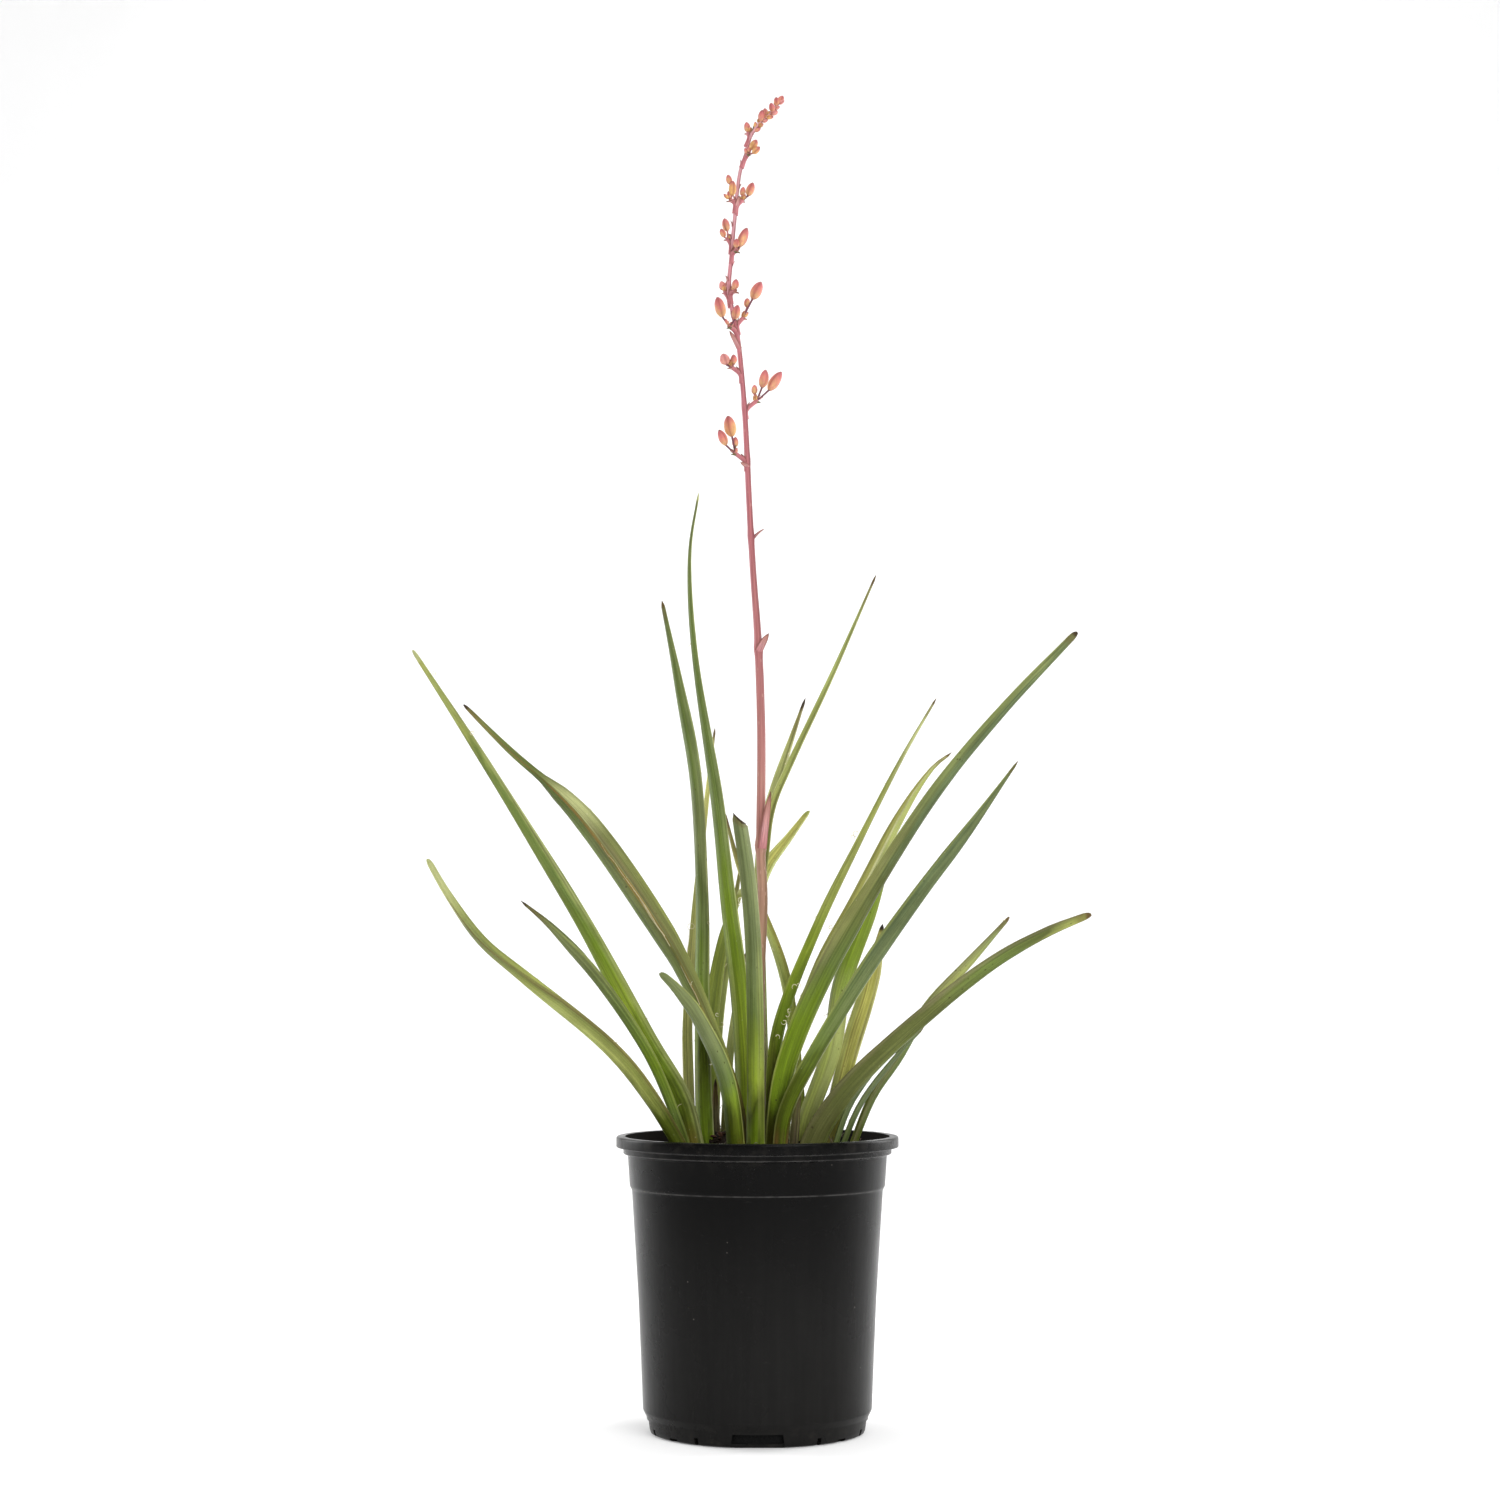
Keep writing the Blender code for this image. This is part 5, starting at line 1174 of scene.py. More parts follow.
def leaf_distances(spec, length):
    """The distances of a leaf's rings, each with how much its ring shrinks towards the tip."""
    blunt = spec["tip"] == "blunt"
    ending = BLUNT_LENGTH if blunt else POINT_LENGTH
    body = length - ending
    stations = round(body / STATION_STEP)
    rows = [(body * step / stations, 1.0) for step in range(stations)]
    for step in BLUNT_STEPS if blunt else POINT_STEPS:
        shrink = math.sqrt(1 - (BLUNT_SHRINK * step) ** 2) if blunt else 1 - POINT_SHRINK * step ** POINT_CURVE
        rows.append((body + ending * step, shrink))
    return rows


def leaf(index, spec, edges):
    """One leaf of the plant. Its margins' places are kept in edges for the threads."""
    name = spec["name"]
    dense = smooth_path(with_root([place(point) for point in spec["path"]]))
    length = path_length(dense)
    rows = leaf_distances(spec, length)
    slant, slant_reach = CUT_TIPS.get(name, (0.0, 1.0))
    roll_base, roll_tip = spec["roll"]
    draw = random.Random(SEED + index)
    waves = [(draw.uniform(*RIPPLE_PITCHES), draw.uniform(0, math.tau)) for _ in range(RIPPLES)]
    plus_edge = FACE_STEPS + 2
    minus_edge = plus_edge + FACE_STEPS + 1 + len(EDGE_ANGLES)
    rings, marks, tones, kept = [], [], [], []
    for (spot, direction), (distance, shrink) in zip(along(dense, [row[0] for row in rows]), rows):
        way = max(distance - ROOT_LENGTH, 0.0) / (length - ROOT_LENGTH)
        ripple = sum(math.sin(distance / pitch + shift) for pitch, shift in waves) / RIPPLES
        width = between(spec["width"], way) * (1 + RIPPLE_WIDTH * ripple)
        roll = roll_base + (roll_tip - roll_base) * way + RIPPLE_ROLL * ripple
        cut = slant * max(0.0, 1 - (length - distance) / slant_reach)
        if cut:
            shrink = max(shrink, CUT_SHRINK)
        ring = blade_ring(spot, direction, roll, width, shrink, cut)
        rings.append(ring)
        for _, _, share, inside in section(width):
            marks.append((share, way, inside))
            tones.append(distance * MM)
        inward, sideways = blade_frame(direction, roll)
        kept.append((spot.z, ring[minus_edge], ring[plus_edge], sideways, inward, direction))
    edges[name] = kept
    bundle = Bundle()
    points, faces = lofted(rings)
    bundle.add(points, faces, marks, tones)
    bundle.piece(name + "_blade", [leaf_skin(index, spec)], (name,), sharp=60)


def tube(points, radii, sides):
    """Points and faces of a round tube along points, with the share of the way of each point."""
    rings, ways = [], []
    for index, (spot, radius) in enumerate(zip(points, radii)):
        before = points[max(index - 1, 0)]
        after = points[min(index + 1, len(points) - 1)]
        rings.append(round_ring(spot, (after - before).normalized(), radius, sides))
        ways.extend([index / (len(points) - 1)] * sides)
    points, faces = lofted(rings)
    return points, faces, ways


def add_tube(bundle, points, radii, sides, tone):
    """Add a round stem to the bundle."""
    made, faces, ways = tube(points, radii, sides)
    bundle.add(made, faces, [(way, 0.0, 0.0) for way in ways], [tone] * len(made))


def round_ring(spot, direction, radius, sides):
    """A ring of points round a direction."""
    across = direction.cross(BACK)
    if across.length < 0.1:
        across = direction.cross(RIGHT)
    across.normalize()
    behind = direction.cross(across)
    ring = []
    for step in range(sides):
        angle = math.tau * step / sides
        ring.append(spot + (across * math.cos(angle) + behind * math.sin(angle)) * radius)
    return ring


def curl(middle, radius, start, sweep, draw):
    """The points of a thread that turns about its middle and opens as it goes."""
    steps = max(LEAST_CURL, round(abs(math.radians(sweep)) * radius / FILAMENT_STEP))
    lean = draw.uniform(-CURL_LEAN, CURL_LEAN)
    points = []
    for step in range(steps + 1):
        way = step / steps
        angle = math.radians(start + sweep * way)
        reach = radius * (CURL_START + CURL_GROWTH * way)
        towards = lean * math.cos(angle) - CURL_REACH * way
        points.append(middle + Vector((math.cos(angle), towards, math.sin(angle))) * reach)
    return points


def loose_end(start, outward, length, draw):
    """The points of a short thread that leaves a margin and bends."""
    heading = outward.normalized()
    axis = Vector((draw.uniform(-1, 1), draw.uniform(-1, 1), draw.uniform(-1, 1))).normalized()
    spot = start - heading * LOOSE_BURIED
    points = [spot]
    for _ in range(max(LEAST_LOOSE, round(length / FILAMENT_STEP))):
        heading = Matrix.Rotation(FILAMENT_STEP * draw.uniform(*LOOSE_BENDS), 3, axis) @ heading
        heading.normalize()
        spot = spot + heading * FILAMENT_STEP
        points.append(spot)
    return points


def add_thread(bundle, points, tone, size=1.0):
    """Add one thread to the bundle, thinner towards its end."""
    count = len(points)
    radii = [FILAMENT_RADIUS * size * (1 - FILAMENT_TAPER * step / count) for step in range(count)]
    add_tube(bundle, points, radii, FILAMENT_SIDES, tone)


def threads(edges):
    """The pale threads of the leaf margins: the large ones listed in THREADS and small ones by a seeded rule.
    """
    bundle = Bundle()
    draw = random.Random(THREAD_SEED)
    for name, (across, height), radius, start, sweep in THREADS:
        margins = min(edges[name], key=lambda row: abs(row[0] - height))[1:3]
        drawn = [place((across, point.y, height)) for point in margins]
        _, margin = min(zip(drawn, margins), key=lambda pair: (pair[0] - pair[1]).length)
        middle = place((across, margin.y - 1.0, height))
        add_thread(bundle, curl(middle, radius, start, sweep, draw), draw.uniform(*CURL_TONES))
    names = [spec["name"] for spec in LEAVES if spec["name"] not in DRY]
    for _ in range(LOOSE_THREADS):
        rows = edges[draw.choice(names)]
        _, minus, plus, sideways, _, direction = rows[draw.randrange(LOOSE_FROM, len(rows) - LOOSE_SHORT)]
        side = draw.choice((-1, 1))
        outward = sideways * side * LOOSE_SPREAD + direction * draw.uniform(0.5, 1.0) * draw.choice((-1, 1))
        points = loose_end(plus if side > 0 else minus, outward, draw.uniform(*LOOSE_LENGTHS), draw)
        add_thread(bundle, points, draw.random(), LOOSE_SIZE)
    for name in CLINGING_LEAVES:
        rows = edges[name]
        for _ in range(CLINGING_COUNT):
            first = draw.randrange(CLINGING_FROM, len(rows) // 2)
            count = draw.randrange(*CLINGING_ROWS)
            drift = draw.uniform(-CLINGING_DRIFT, CLINGING_DRIFT)
            points = []
            for _, _, plus, sideways, inward, _ in rows[first:first + count]:
                sway = draw.uniform(-CLINGING_SWAY, CLINGING_SWAY) + drift
                off = CLINGING_CLEAR + CLINGING_BULGE * abs(sway)
                points.append(plus + sideways * off + inward * sway)
            add_thread(bundle, smooth_path(points, 4), draw.uniform(0.0, 0.5), CLINGING_SIZE)
    bundle.piece("margin_threads", [thread_skin()])


def thread_skin():
    """The dry cream skin of the threads, greyer at their ends."""
    paint = Paint("skin_threads")
    way, _, _ = paint.attribute("mark")
    rough = paint.mottle(1800.0)
    colour = paint.ramp(paint.number("tone"), THREAD_RUN)
    colour = paint.lay(colour, GREY_BROWN, paint.band(way, 0.7, 1.0, 0.0, 0.4))
    colour = paint.shade(colour, rough, 0.85, 1.1)
    return paint.finish(colour, paint.band(rough, 0.3, 0.7, 0.6, 0.8), ((rough, 0.00003),), 0.3)


def stalk_curve():
    """The dense path of the stalk, its root included."""
    return smooth_path(with_root([place(point) for point in STALK_PATH]))


def stalk_radius(share, height):
    """The stalk's radius, with a round swelling at each node."""
    radius = between(STALK_RADII, share)
    for level, growth in STALK_NODES:
        near = max(0.0, 1 - abs(height - level) / NODE_REACH)
        radius *= 1 + (growth - 1) * near * near * (3 - 2 * near)
    return radius


def stalk_at(height):
    """The stalk's centre, its direction and its radius at a height."""
    walked = 0.0
    for start, end in zip(STALK_LINE, STALK_LINE[1:]):
        step = (end - start).length
        if end.z >= height:
            share = max((height - start.z) / (end.z - start.z), 0.0)
            radius = stalk_radius((walked + step * share) / STALK_LENGTH, height)
            return start.lerp(end, share), (end - start).normalized(), radius
        walked += step
    return STALK_LINE[-1], (STALK_LINE[-1] - STALK_LINE[-2]).normalized(), STALK_RADII[-1]


def bud(bundle, base, tip, width, draw, tone=None):
    """Add one bud: petals with a seam between them, full below the middle, and a small beak on top."""
    width = width * BUD_GROWTH[width > SMALL_BUD]
    direction = (tip - base).normalized()
    across = direction.cross(BACK).normalized()
    behind = direction.cross(across)
    turn = draw.uniform(0, math.tau)
    chance = draw.uniform(*BUD_CHANCES)
    tone = chance if tone is None else tone
    rings, marks = [], []
    for row in range(BUD_ROWS + 1):
        way = row / BUD_ROWS
        girth = between(BUD_GIRTH, way)
        centre = base.lerp(tip, way)
        ring = []
        for side in range(BUD_SIDES):
            angle = math.tau * side / BUD_SIDES
            phase = PETALS / 2 * (angle - turn)
            seam = math.cos(phase) ** 2
            petal = abs(math.sin(phase))
            lobe = 1 - BUD_SEAM * seam ** SEAM_POWER * min(way * 4, 1.0) - BUD_LOBE * seam
            radius = width / 2 * girth * lobe
            ring.append(centre + (across * math.cos(angle) + behind * math.sin(angle)) * radius)
            marks.append((way, petal, seam ** SEAM_MARK))
        rings.append(ring)
    points, faces = lofted(rings)
    bundle.add(points, faces, marks, [tone] * len(points), BUD_SLOT)


def scale_leaf(bundle, centre, direction, outward, reach, length, width, kind):
    """Add one clasping scale: a thin pointed shell that bends round the stem and stands off at its tip."""
    sideways = outward.cross(direction)
    rings, marks = [], []
    for row in range(SCALE_ROWS + 1):
        way = row / SCALE_ROWS
        half = width / 2 * (1 - way ** SCALE_POWER) ** SCALE_FULLNESS + SCALE_POINT
        lift = reach * (1 + SCALE_STAND * way * way)
        rise = direction * length * way
        ring = []
        for side in (1, -1):
            for column in range(SCALE_COLUMNS + 1):
                share = (column / SCALE_COLUMNS * 2 - 1) * side
                angle = share * half / max(reach, half * SCALE_HUG)
                shell = SCALE_THICKNESS * side / 2
                out = outward * (lift - reach + (reach + shell) * math.cos(angle))
                ring.append(centre + rise + out + sideways * (reach + shell) * math.sin(angle))
                marks.append((share, way, kind))
        rings.append(ring)
    points, faces = lofted(rings)
    bundle.add(points, faces, marks, [0.5] * len(points), SCALE_SLOT)


def stem(bundle):
    """Add the stalk's own stem, faintly fluted, with its ringed nodes."""
    rings, marks = [], []
    steps = round(STALK_LENGTH / STALK_STEP)
    distances = [STALK_LENGTH * step / steps for step in range(steps + 1)]
    for spot, direction in along(STALK_LINE, distances):
        way = len(rings) / steps
        radius = stalk_radius(way, spot.z) * STALK_GROWTH
        ring = []
        for side, point in enumerate(round_ring(spot, direction, 1.0, STALK_SIDES)):
            angle = math.tau * side / STALK_SIDES
            flute = 1 - FLUTE_DEPTH * (0.5 + 0.5 * math.cos(FLUTES * angle + FLUTE_TWIST * way))
            ring.append(spot + (point - spot) * radius * flute)
            marks.append((math.cos(angle), way, 0.0))
        rings.append(ring)
    points, faces = lofted(rings)
    bundle.add(points, faces, marks, [0.5] * len(points))


def stalk():
    """The flower stalk: its stem, its clasping scales and the crowded buds at its tip."""
    draw = random.Random(STALK_SEED)
    bundle = Bundle()
    stem(bundle)
    for base, tip, width, kind in SCALES:
        root = place(base)
        end = place(tip)
        direction = (end - root).normalized()
        centre, _, radius = stalk_at(root.z)
        outward = squared(end - centre, direction)
        length = (end - root).length + SCALE_SUNK
        foot = centre - direction * SCALE_SUNK
        scale_leaf(bundle, foot, direction, outward, radius + SCALE_CLEAR, length, width, kind)
    for base, tip, width in TIP_BUDS:
        low = place(base)
        centre, _, _ = stalk_at(low.z - TIP_STEM_DROP)
        add_tube(bundle, [centre, centre.lerp(low, 0.6), low], TIP_STEM, TIP_STEM_SIDES, TIP_STEM_TONE)
        bud(bundle, low, place(tip), width, draw)
    for step in range(TIP_CLUSTER):
        spot, direction = along(STALK_LINE, [STALK_LENGTH - TIP_START - TIP_STEP * step])[0]
        lean = direction.cross(BACK) * (1 if step % 2 else -1)
        tilt = Vector((0.0, draw.uniform(-TIP_LEAN, TIP_LEAN), 0.0))
        lean = (lean * TIP_LEAN + direction + tilt).normalized()
        low = spot + lean * TIP_CLEAR
        high = low + lean * draw.uniform(*TIP_LENGTHS)
        bud(bundle, low, high, draw.uniform(*TIP_WIDTHS), draw, draw.choice(TIP_TONES))
    for height in SMALL_SCALES:
        centre, direction, radius = stalk_at(height)
        angle = draw.uniform(0, math.tau)
        outward = squared(Vector((math.cos(angle), math.sin(angle), 0.0)), direction)
        kind = draw.choice(SCALE_KINDS)
        scale_leaf(bundle, centre, direction, outward, radius + SMALL_CLEAR, *SMALL_SCALE, kind)
    skins = [stalk_skin(), scale_skin(), bud_skin()]
    bundle.piece("flower_stalk_stem", skins, ("flower_stalk",), sharp=60)


def spray(index, spec):
    """A side branch with its curved stems, its buds and the small dry scales at its joints."""
    draw = random.Random(SPRAY_SEED + index)
    centre, direction, radius = stalk_at(spec["height"])
    elbow = place(spec["elbow"])
    outward = (elbow - centre).normalized()
    bundle = Bundle()
    level = squared(outward, direction)
    foot = centre + level * radius * BRANCH_FOOT - direction * BRANCH_FUSED
    beyond = elbow + outward * STEM_PAST
    bend = centre + level * radius * BRANCH_BEND - direction * BEND_DROP
    line = smooth_path([foot, bend, elbow, beyond], 6)
    flare, slim = BRANCH_FLARE
    radii = [BRANCH_RADIUS * (flare - slim * step / len(line)) for step in range(len(line))]
    add_tube(bundle, line, radii, BRANCH_SIDES, 0.1)
    kind = 1.0 if spec["name"] in DARK_SPRAYS else 0.0
    scale_leaf(bundle, elbow - outward * ELBOW_SUNK, outward, -direction, ELBOW_RADIUS, *ELBOW_SCALE, kind)
    sunk = centre + direction * -SCALE_SUNK
    scale_leaf(bundle, sunk, direction, level, radius + FOOT_CLEAR, *FOOT_SCALE, 0.0)
    for number, (base, tip, width) in enumerate(spec["buds"]):
        small = width <= SMALL_BUD
        low = place(base)
        high = place(tip)
        reach = (low - elbow).length
        aim = (high - low).normalized()
        middle = elbow.lerp(low, 0.5) - aim * PEDICEL_SAG * reach
        line = smooth_path([elbow, middle, low, low + aim * STEM_PAST], 5)
        thin = PEDICEL_RADIUS * (SMALL_PEDICEL if small else 1.0)
        flare, swell = PEDICEL_FLARE
        radii = [thin * (flare + swell * (step / len(line)) ** 3) for step in range(len(line))]
        add_tube(bundle, line, radii, PEDICEL_SIDES, 0.5 if small else 1.0)
        bud(bundle, low, high, width, draw, BUD_TONES.get(spec["name"]) if number == 0 else None)
        if reach > LEAST_JOINT:
            side = aim.cross(BACK).normalized() * draw.choice((-1, 1))
            joint = elbow.lerp(middle, 0.5)
            kind = draw.choice(SCALE_KINDS)
            scale_leaf(bundle, joint, aim, side, thin + JOINT_CLEAR, *JOINT_SCALE, kind)
    for _ in range(CLUSTER_BUDS):
        lean = Vector((draw.gauss(0, 0.5), draw.gauss(0, 0.4), 1.0)).normalized()
        low = elbow + outward * draw.uniform(*CLUSTER_SPREAD) + lean * CLUSTER_LIFT
        high = low + (lean + outward * CLUSTER_LEAN).normalized() * draw.uniform(*CLUSTER_LENGTHS)
        bud(bundle, low, high, draw.uniform(*CLUSTER_WIDTHS), draw, draw.choice(CLUSTER_TONES))
    skins = [SKINS["stem"], SKINS["scale"], SKINS["bud"]]
    bundle.piece(spec["name"] + "_buds", skins, (spec["name"],), sharp=60)


def stalk_skin():
    """The stalk's skin: tan below, rose above, with painted shade down one side and painted light on the other,
    fine lines and pale flecks.
    """
    paint = Paint("skin_stalk")
    side, _, _ = paint.attribute("mark")
    _, _, z = paint.place()
    lines = paint.mottle(stretch=(900.0, 900.0, 22.0))
    patchy = paint.mottle(stretch=(220.0, 220.0, 34.0), detail=4.0)
    height = paint.band(z, 0.16, 0.80)
    height.node.interpolation_type = "LINEAR"
    colour = paint.ramp(paint.math("ADD", height, paint.band(patchy, 0.2, 0.8, -0.05, 0.05)), STALK_RUN)
    # Painted shade down one side of the stalk, low and high, and painted light up its other side
    painted_shade_side = paint.band(side, -0.15, -0.75)
    colour = paint.lay(colour, STALK_PAINTED_SHADE_LOW, painted_shade_side, paint.band(z, 0.42, 0.30), 0.7)
    colour = paint.lay(colour, STALK_PAINTED_SHADE_HIGH, painted_shade_side, paint.band(z, 0.34, 0.50), 0.8)
    colour = paint.lay(colour, STALK_PAINTED_LIGHT, paint.band(side, 0.3, 0.9), paint.band(z, 0.42, 0.52), 0.35)
    colour = paint.lay(colour, STALK_GREEN, paint.band(patchy, 0.5, 0.72), paint.band(z, 0.42, 0.2), 0.3)
    colour = paint.shade(colour, lines, 0.84, 1.14)
    flecks = paint.cells(paint.vector(*paint.place(), (420.0, 420.0, 130.0)))
    colour = paint.lay(colour, STALK_FLECK, paint.band(flecks, 0.2, 0.1), 0.45)
    rough = paint.band(patchy, 0.3, 0.7, 0.42, 0.58)
    return paint.finish(colour, rough, ((lines, 0.00018), (patchy, 0.0003)), 0.2)


def stem_skin():
    """The thin stems' skin, pink with darker, purple lengths."""
    paint = Paint("skin_stems")
    way, _, _ = paint.attribute("mark")
    fine = paint.mottle(stretch=(900.0, 900.0, 300.0))
    colour = paint.ramp(paint.number("tone"), STEM_RUN)
    colour = paint.lay(colour, STEM_END, paint.band(way, 0.6, 1.0, 0.0, 0.7))
    colour = paint.shade(colour, fine, 0.85, 1.12)
    return paint.finish(colour, paint.band(fine, 0.3, 0.7, 0.45, 0.6), ((fine, 0.00008),), 0.2)


def scale_skin():
    """The papery scales: rose with fine veins and a brown edge, some dark and dry all over."""
    paint = Paint("skin_scales")
    share, way, dark = paint.attribute("mark")
    _, _, z = paint.place()
    veins = paint.noise(paint.vector(share, way, z, (9.0, 1.5, 60.0)))
    edge = paint.band(paint.math("ABSOLUTE", share), 0.45, 0.9)
    colour = paint.lay(paint.ramp(way, SCALE_RUN), SCALE_EDGE, edge, 0.8)
    colour = paint.mix(dark, colour, paint.ramp(veins, DRY_SCALE_RUN))
    colour = paint.shade(colour, veins, 0.65, 1.30)
    return paint.finish(colour, paint.band(veins, 0.3, 0.7, 0.55, 0.75), ((veins, 0.0003),), 0.15)


def bud_skin():
    """The buds' skin: peach-yellow at the base, coral in the middle, rose-red at the tip and on the seams."""
    paint = Paint("skin_buds")
    way, petal, seam = paint.attribute("mark")
    tone = paint.number("tone")
    fine = paint.mottle(stretch=(700.0, 700.0, 170.0), detail=4.0)
    patchy = paint.mottle(420.0)
    level = paint.math("ADD", way, paint.band(fine, 0.2, 0.8, -0.10, 0.10))
    colour = paint.ramp(level, BUD_RUN)
    warm = (paint.band(petal, 0.55, 1.0), paint.within(way, 0.1, 0.6, 0.15), paint.band(tone, 0.2, 0.8))
    colour = paint.lay(colour, BUD_PEACH, *warm, 0.75)
    colour = paint.lay(colour, BUD_ROSE, paint.band(patchy, 0.48, 0.66), 0.45)
    colour = paint.lay(colour, BUD_PALE, paint.band(tone, 0.12, 0.02, 0.0, 0.65))
    colour = paint.lay(colour, BUD_GOLD, paint.band(tone, 0.78, 0.88), paint.band(level, 0.95, 0.45), 0.8)
    browned = (paint.band(tone, 0.93, 0.99), paint.band(patchy, 0.4, 0.6, 0.3, 1.0))
    colour = paint.lay(colour, BUD_BROWN, *browned, 0.75)
    colour = paint.lay(colour, BUD_SEAM_RED, seam, 0.6)
    colour = paint.shade(colour, fine, 0.88, 1.10)
    rough = paint.band(fine, 0.3, 0.7, 0.40, 0.55)
    return paint.finish(colour, rough, ((fine, 0.00015), (patchy, 0.0001)), 0.22)


def pot_inside():
    """The pot's inner wall, from its mouth down to the edge of its floor."""
    return (
        (RIM_MOUTH, POT_HEIGHT),
        (BAND_TOP_RADIUS - WALL, COLLAR_FOOT),
        (BODY_TOP_RADIUS - WALL, BODY_TOP),
        (BODY_MIDDLE_RADIUS - WALL, BODY_MIDDLE),
        (FOOT_TOP_RADIUS - WALL, FOOT_TOP),
        (FOOT_RADIUS - WALL - INNER_FOOT, FLOOR),
    )


def pot_profile():
    """The pot's wall: up its outside, over the rim and down its inside to the middle of the floor."""
    return (
        (0.0, 0.0),
        (FOOT_RADIUS - FOOT_ROUND, 0.0),
        (FOOT_RADIUS - FOOT_BEVEL, FOOT_BEVEL),
        (FOOT_RADIUS, FOOT_ROUND),
        (FOOT_TOP_RADIUS, FOOT_TOP),
        (BODY_FOOT_RADIUS, BODY_FOOT),
        (BODY_MIDDLE_RADIUS, BODY_MIDDLE),
        (BODY_TOP_RADIUS, BODY_TOP),
        (BAND_FOOT_RADIUS, BAND_FOOT),
        (BAND_TOP_RADIUS, COLLAR_FOOT - BAND_SLOPE),
        (COLLAR_RADIUS, COLLAR_FOOT),
        (COLLAR_RADIUS, RIM_FOOT),
        (RIM_RADIUS, RIM_FOOT + RIM_UNDERCUT),
        (RIM_RADIUS, POT_HEIGHT - RIM_BEVEL),
        (RIM_RADIUS - RIM_BEVEL, POT_HEIGHT),
        *pot_inside(),
        (0.0, FLOOR),
    )


def inner_radius(height):
    """The inside radius of the pot at a height."""
    profile = pot_inside()
    for (upper, top), (lower, foot) in zip(profile, profile[1:]):
        if foot <= height <= top:
            return lower + (upper - lower) * (height - foot) / (top - foot)
    return profile[-1][0]


def softened(profile, reach):
    """The profile with each corner rounded over a reach along its two sides."""
    made = [profile[0]]
    for before, corner, after in zip(profile, profile[1:], profile[2:]):
        middle = Vector(corner)
        ends = []
        for other in (before, after):
            side = Vector(other) - middle
            ends.append(middle + side.normalized() * min(reach, side.length * LONGEST_CORNER))
        for share in CORNER_SHARES:
            made.append(tuple(ends[0].lerp(middle, share).lerp(middle.lerp(ends[1], share), share)))
    made.append(profile[-1])
    return made


def plain_object(name, points, faces):
    """A mesh object from points in millimetres, for cutting with."""
    mesh = bpy.data.meshes.new(name)
    mesh.from_pydata([Vector(point) * MM for point in points], [], faces)
    return linked(name, mesh)


def foot_cutter(name, angle, width, height, inner):
    """A block that opens the pot's foot at an angle from the front."""
    turn = math.radians(angle)
    outward = Vector((math.sin(turn), -math.cos(turn), 0.0))
    beside = Vector((-outward.y, outward.x, 0.0))
    rings = []
    for reach in (inner, RIM_RADIUS):
        ring = []
        for across, up in ((-1, CUT_BELOW), (1, CUT_BELOW), (CUT_TAPER, height), (-CUT_TAPER, height)):
            ring.append(outward * reach + beside * across * width / 2 + Vector((0, 0, up)))
        rings.append(ring)
    return plain_object(name, *lofted(rings))


def pot():
    """The nursery pot, its corners softened and its drain slots and vent notches cut."""
    points, faces = turned(softened(pot_profile(), CORNER), POT_SEGMENTS)
    body = plain_object("pot_body", points, faces)
    cutters = bpy.data.collections.new("cutters")
    blocks = []
    for angle in (0, 90, 180, 270):
        blocks.append(foot_cutter(f"drain_{angle}", angle, DRAIN_WIDTH, DRAIN_HEIGHT, DRAIN_REACH))
    for angle, width, height in NOTCHES:
        for side in (angle, -angle, 180 + angle, 180 - angle):
            blocks.append(foot_cutter(f"notch_{side:.0f}", side, width, height, NOTCH_REACH))
    for block in blocks:
        bpy.context.scene.collection.objects.unlink(block)
        cutters.objects.link(block)
    modifier = body.modifiers.new("cut", "BOOLEAN")
    modifier.operation = "DIFFERENCE"
    modifier.operand_type = "COLLECTION"
    modifier.collection = cutters
    modifier.solver = "EXACT"
    graph = bpy.context.evaluated_depsgraph_get()
    graph.update()
    made = bpy.data.meshes.new_from_object(body.evaluated_get(graph))
    body.modifiers.clear()
    body.data = made
    for block in blocks:
        bpy.data.objects.remove(block, do_unlink=True)
    bpy.data.collections.remove(cutters)
    made.materials.clear()
    made.materials.append(pot_skin())
    made.materials.append(inside_skin())
    for face in made.polygons:
        x, y, z = face.center / MM
        if FLOOR < z < POT_HEIGHT - 0.2:
            face.material_index = int(math.hypot(x, y) < inner_radius(z) + INSIDE_REACH)
    made.shade_smooth()
    made.set_sharp_from_angle(angle=math.radians(POT_SHARP))
    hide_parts("pot")
    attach(body, "root")


def inside_skin():
    """The pot's inner wall: the same plastic, dull and dusty with mix below the rim."""
    paint = Paint("skin_pot_inside")
    dusty = paint.mottle(150.0, detail=5.0, rough=0.65)
    colour = paint.ramp(dusty, INSIDE_RUN)
    return paint.finish(colour, paint.band(dusty, 0.3, 0.7, 0.75, 0.9), ((dusty, 0.0003),), 0.02)


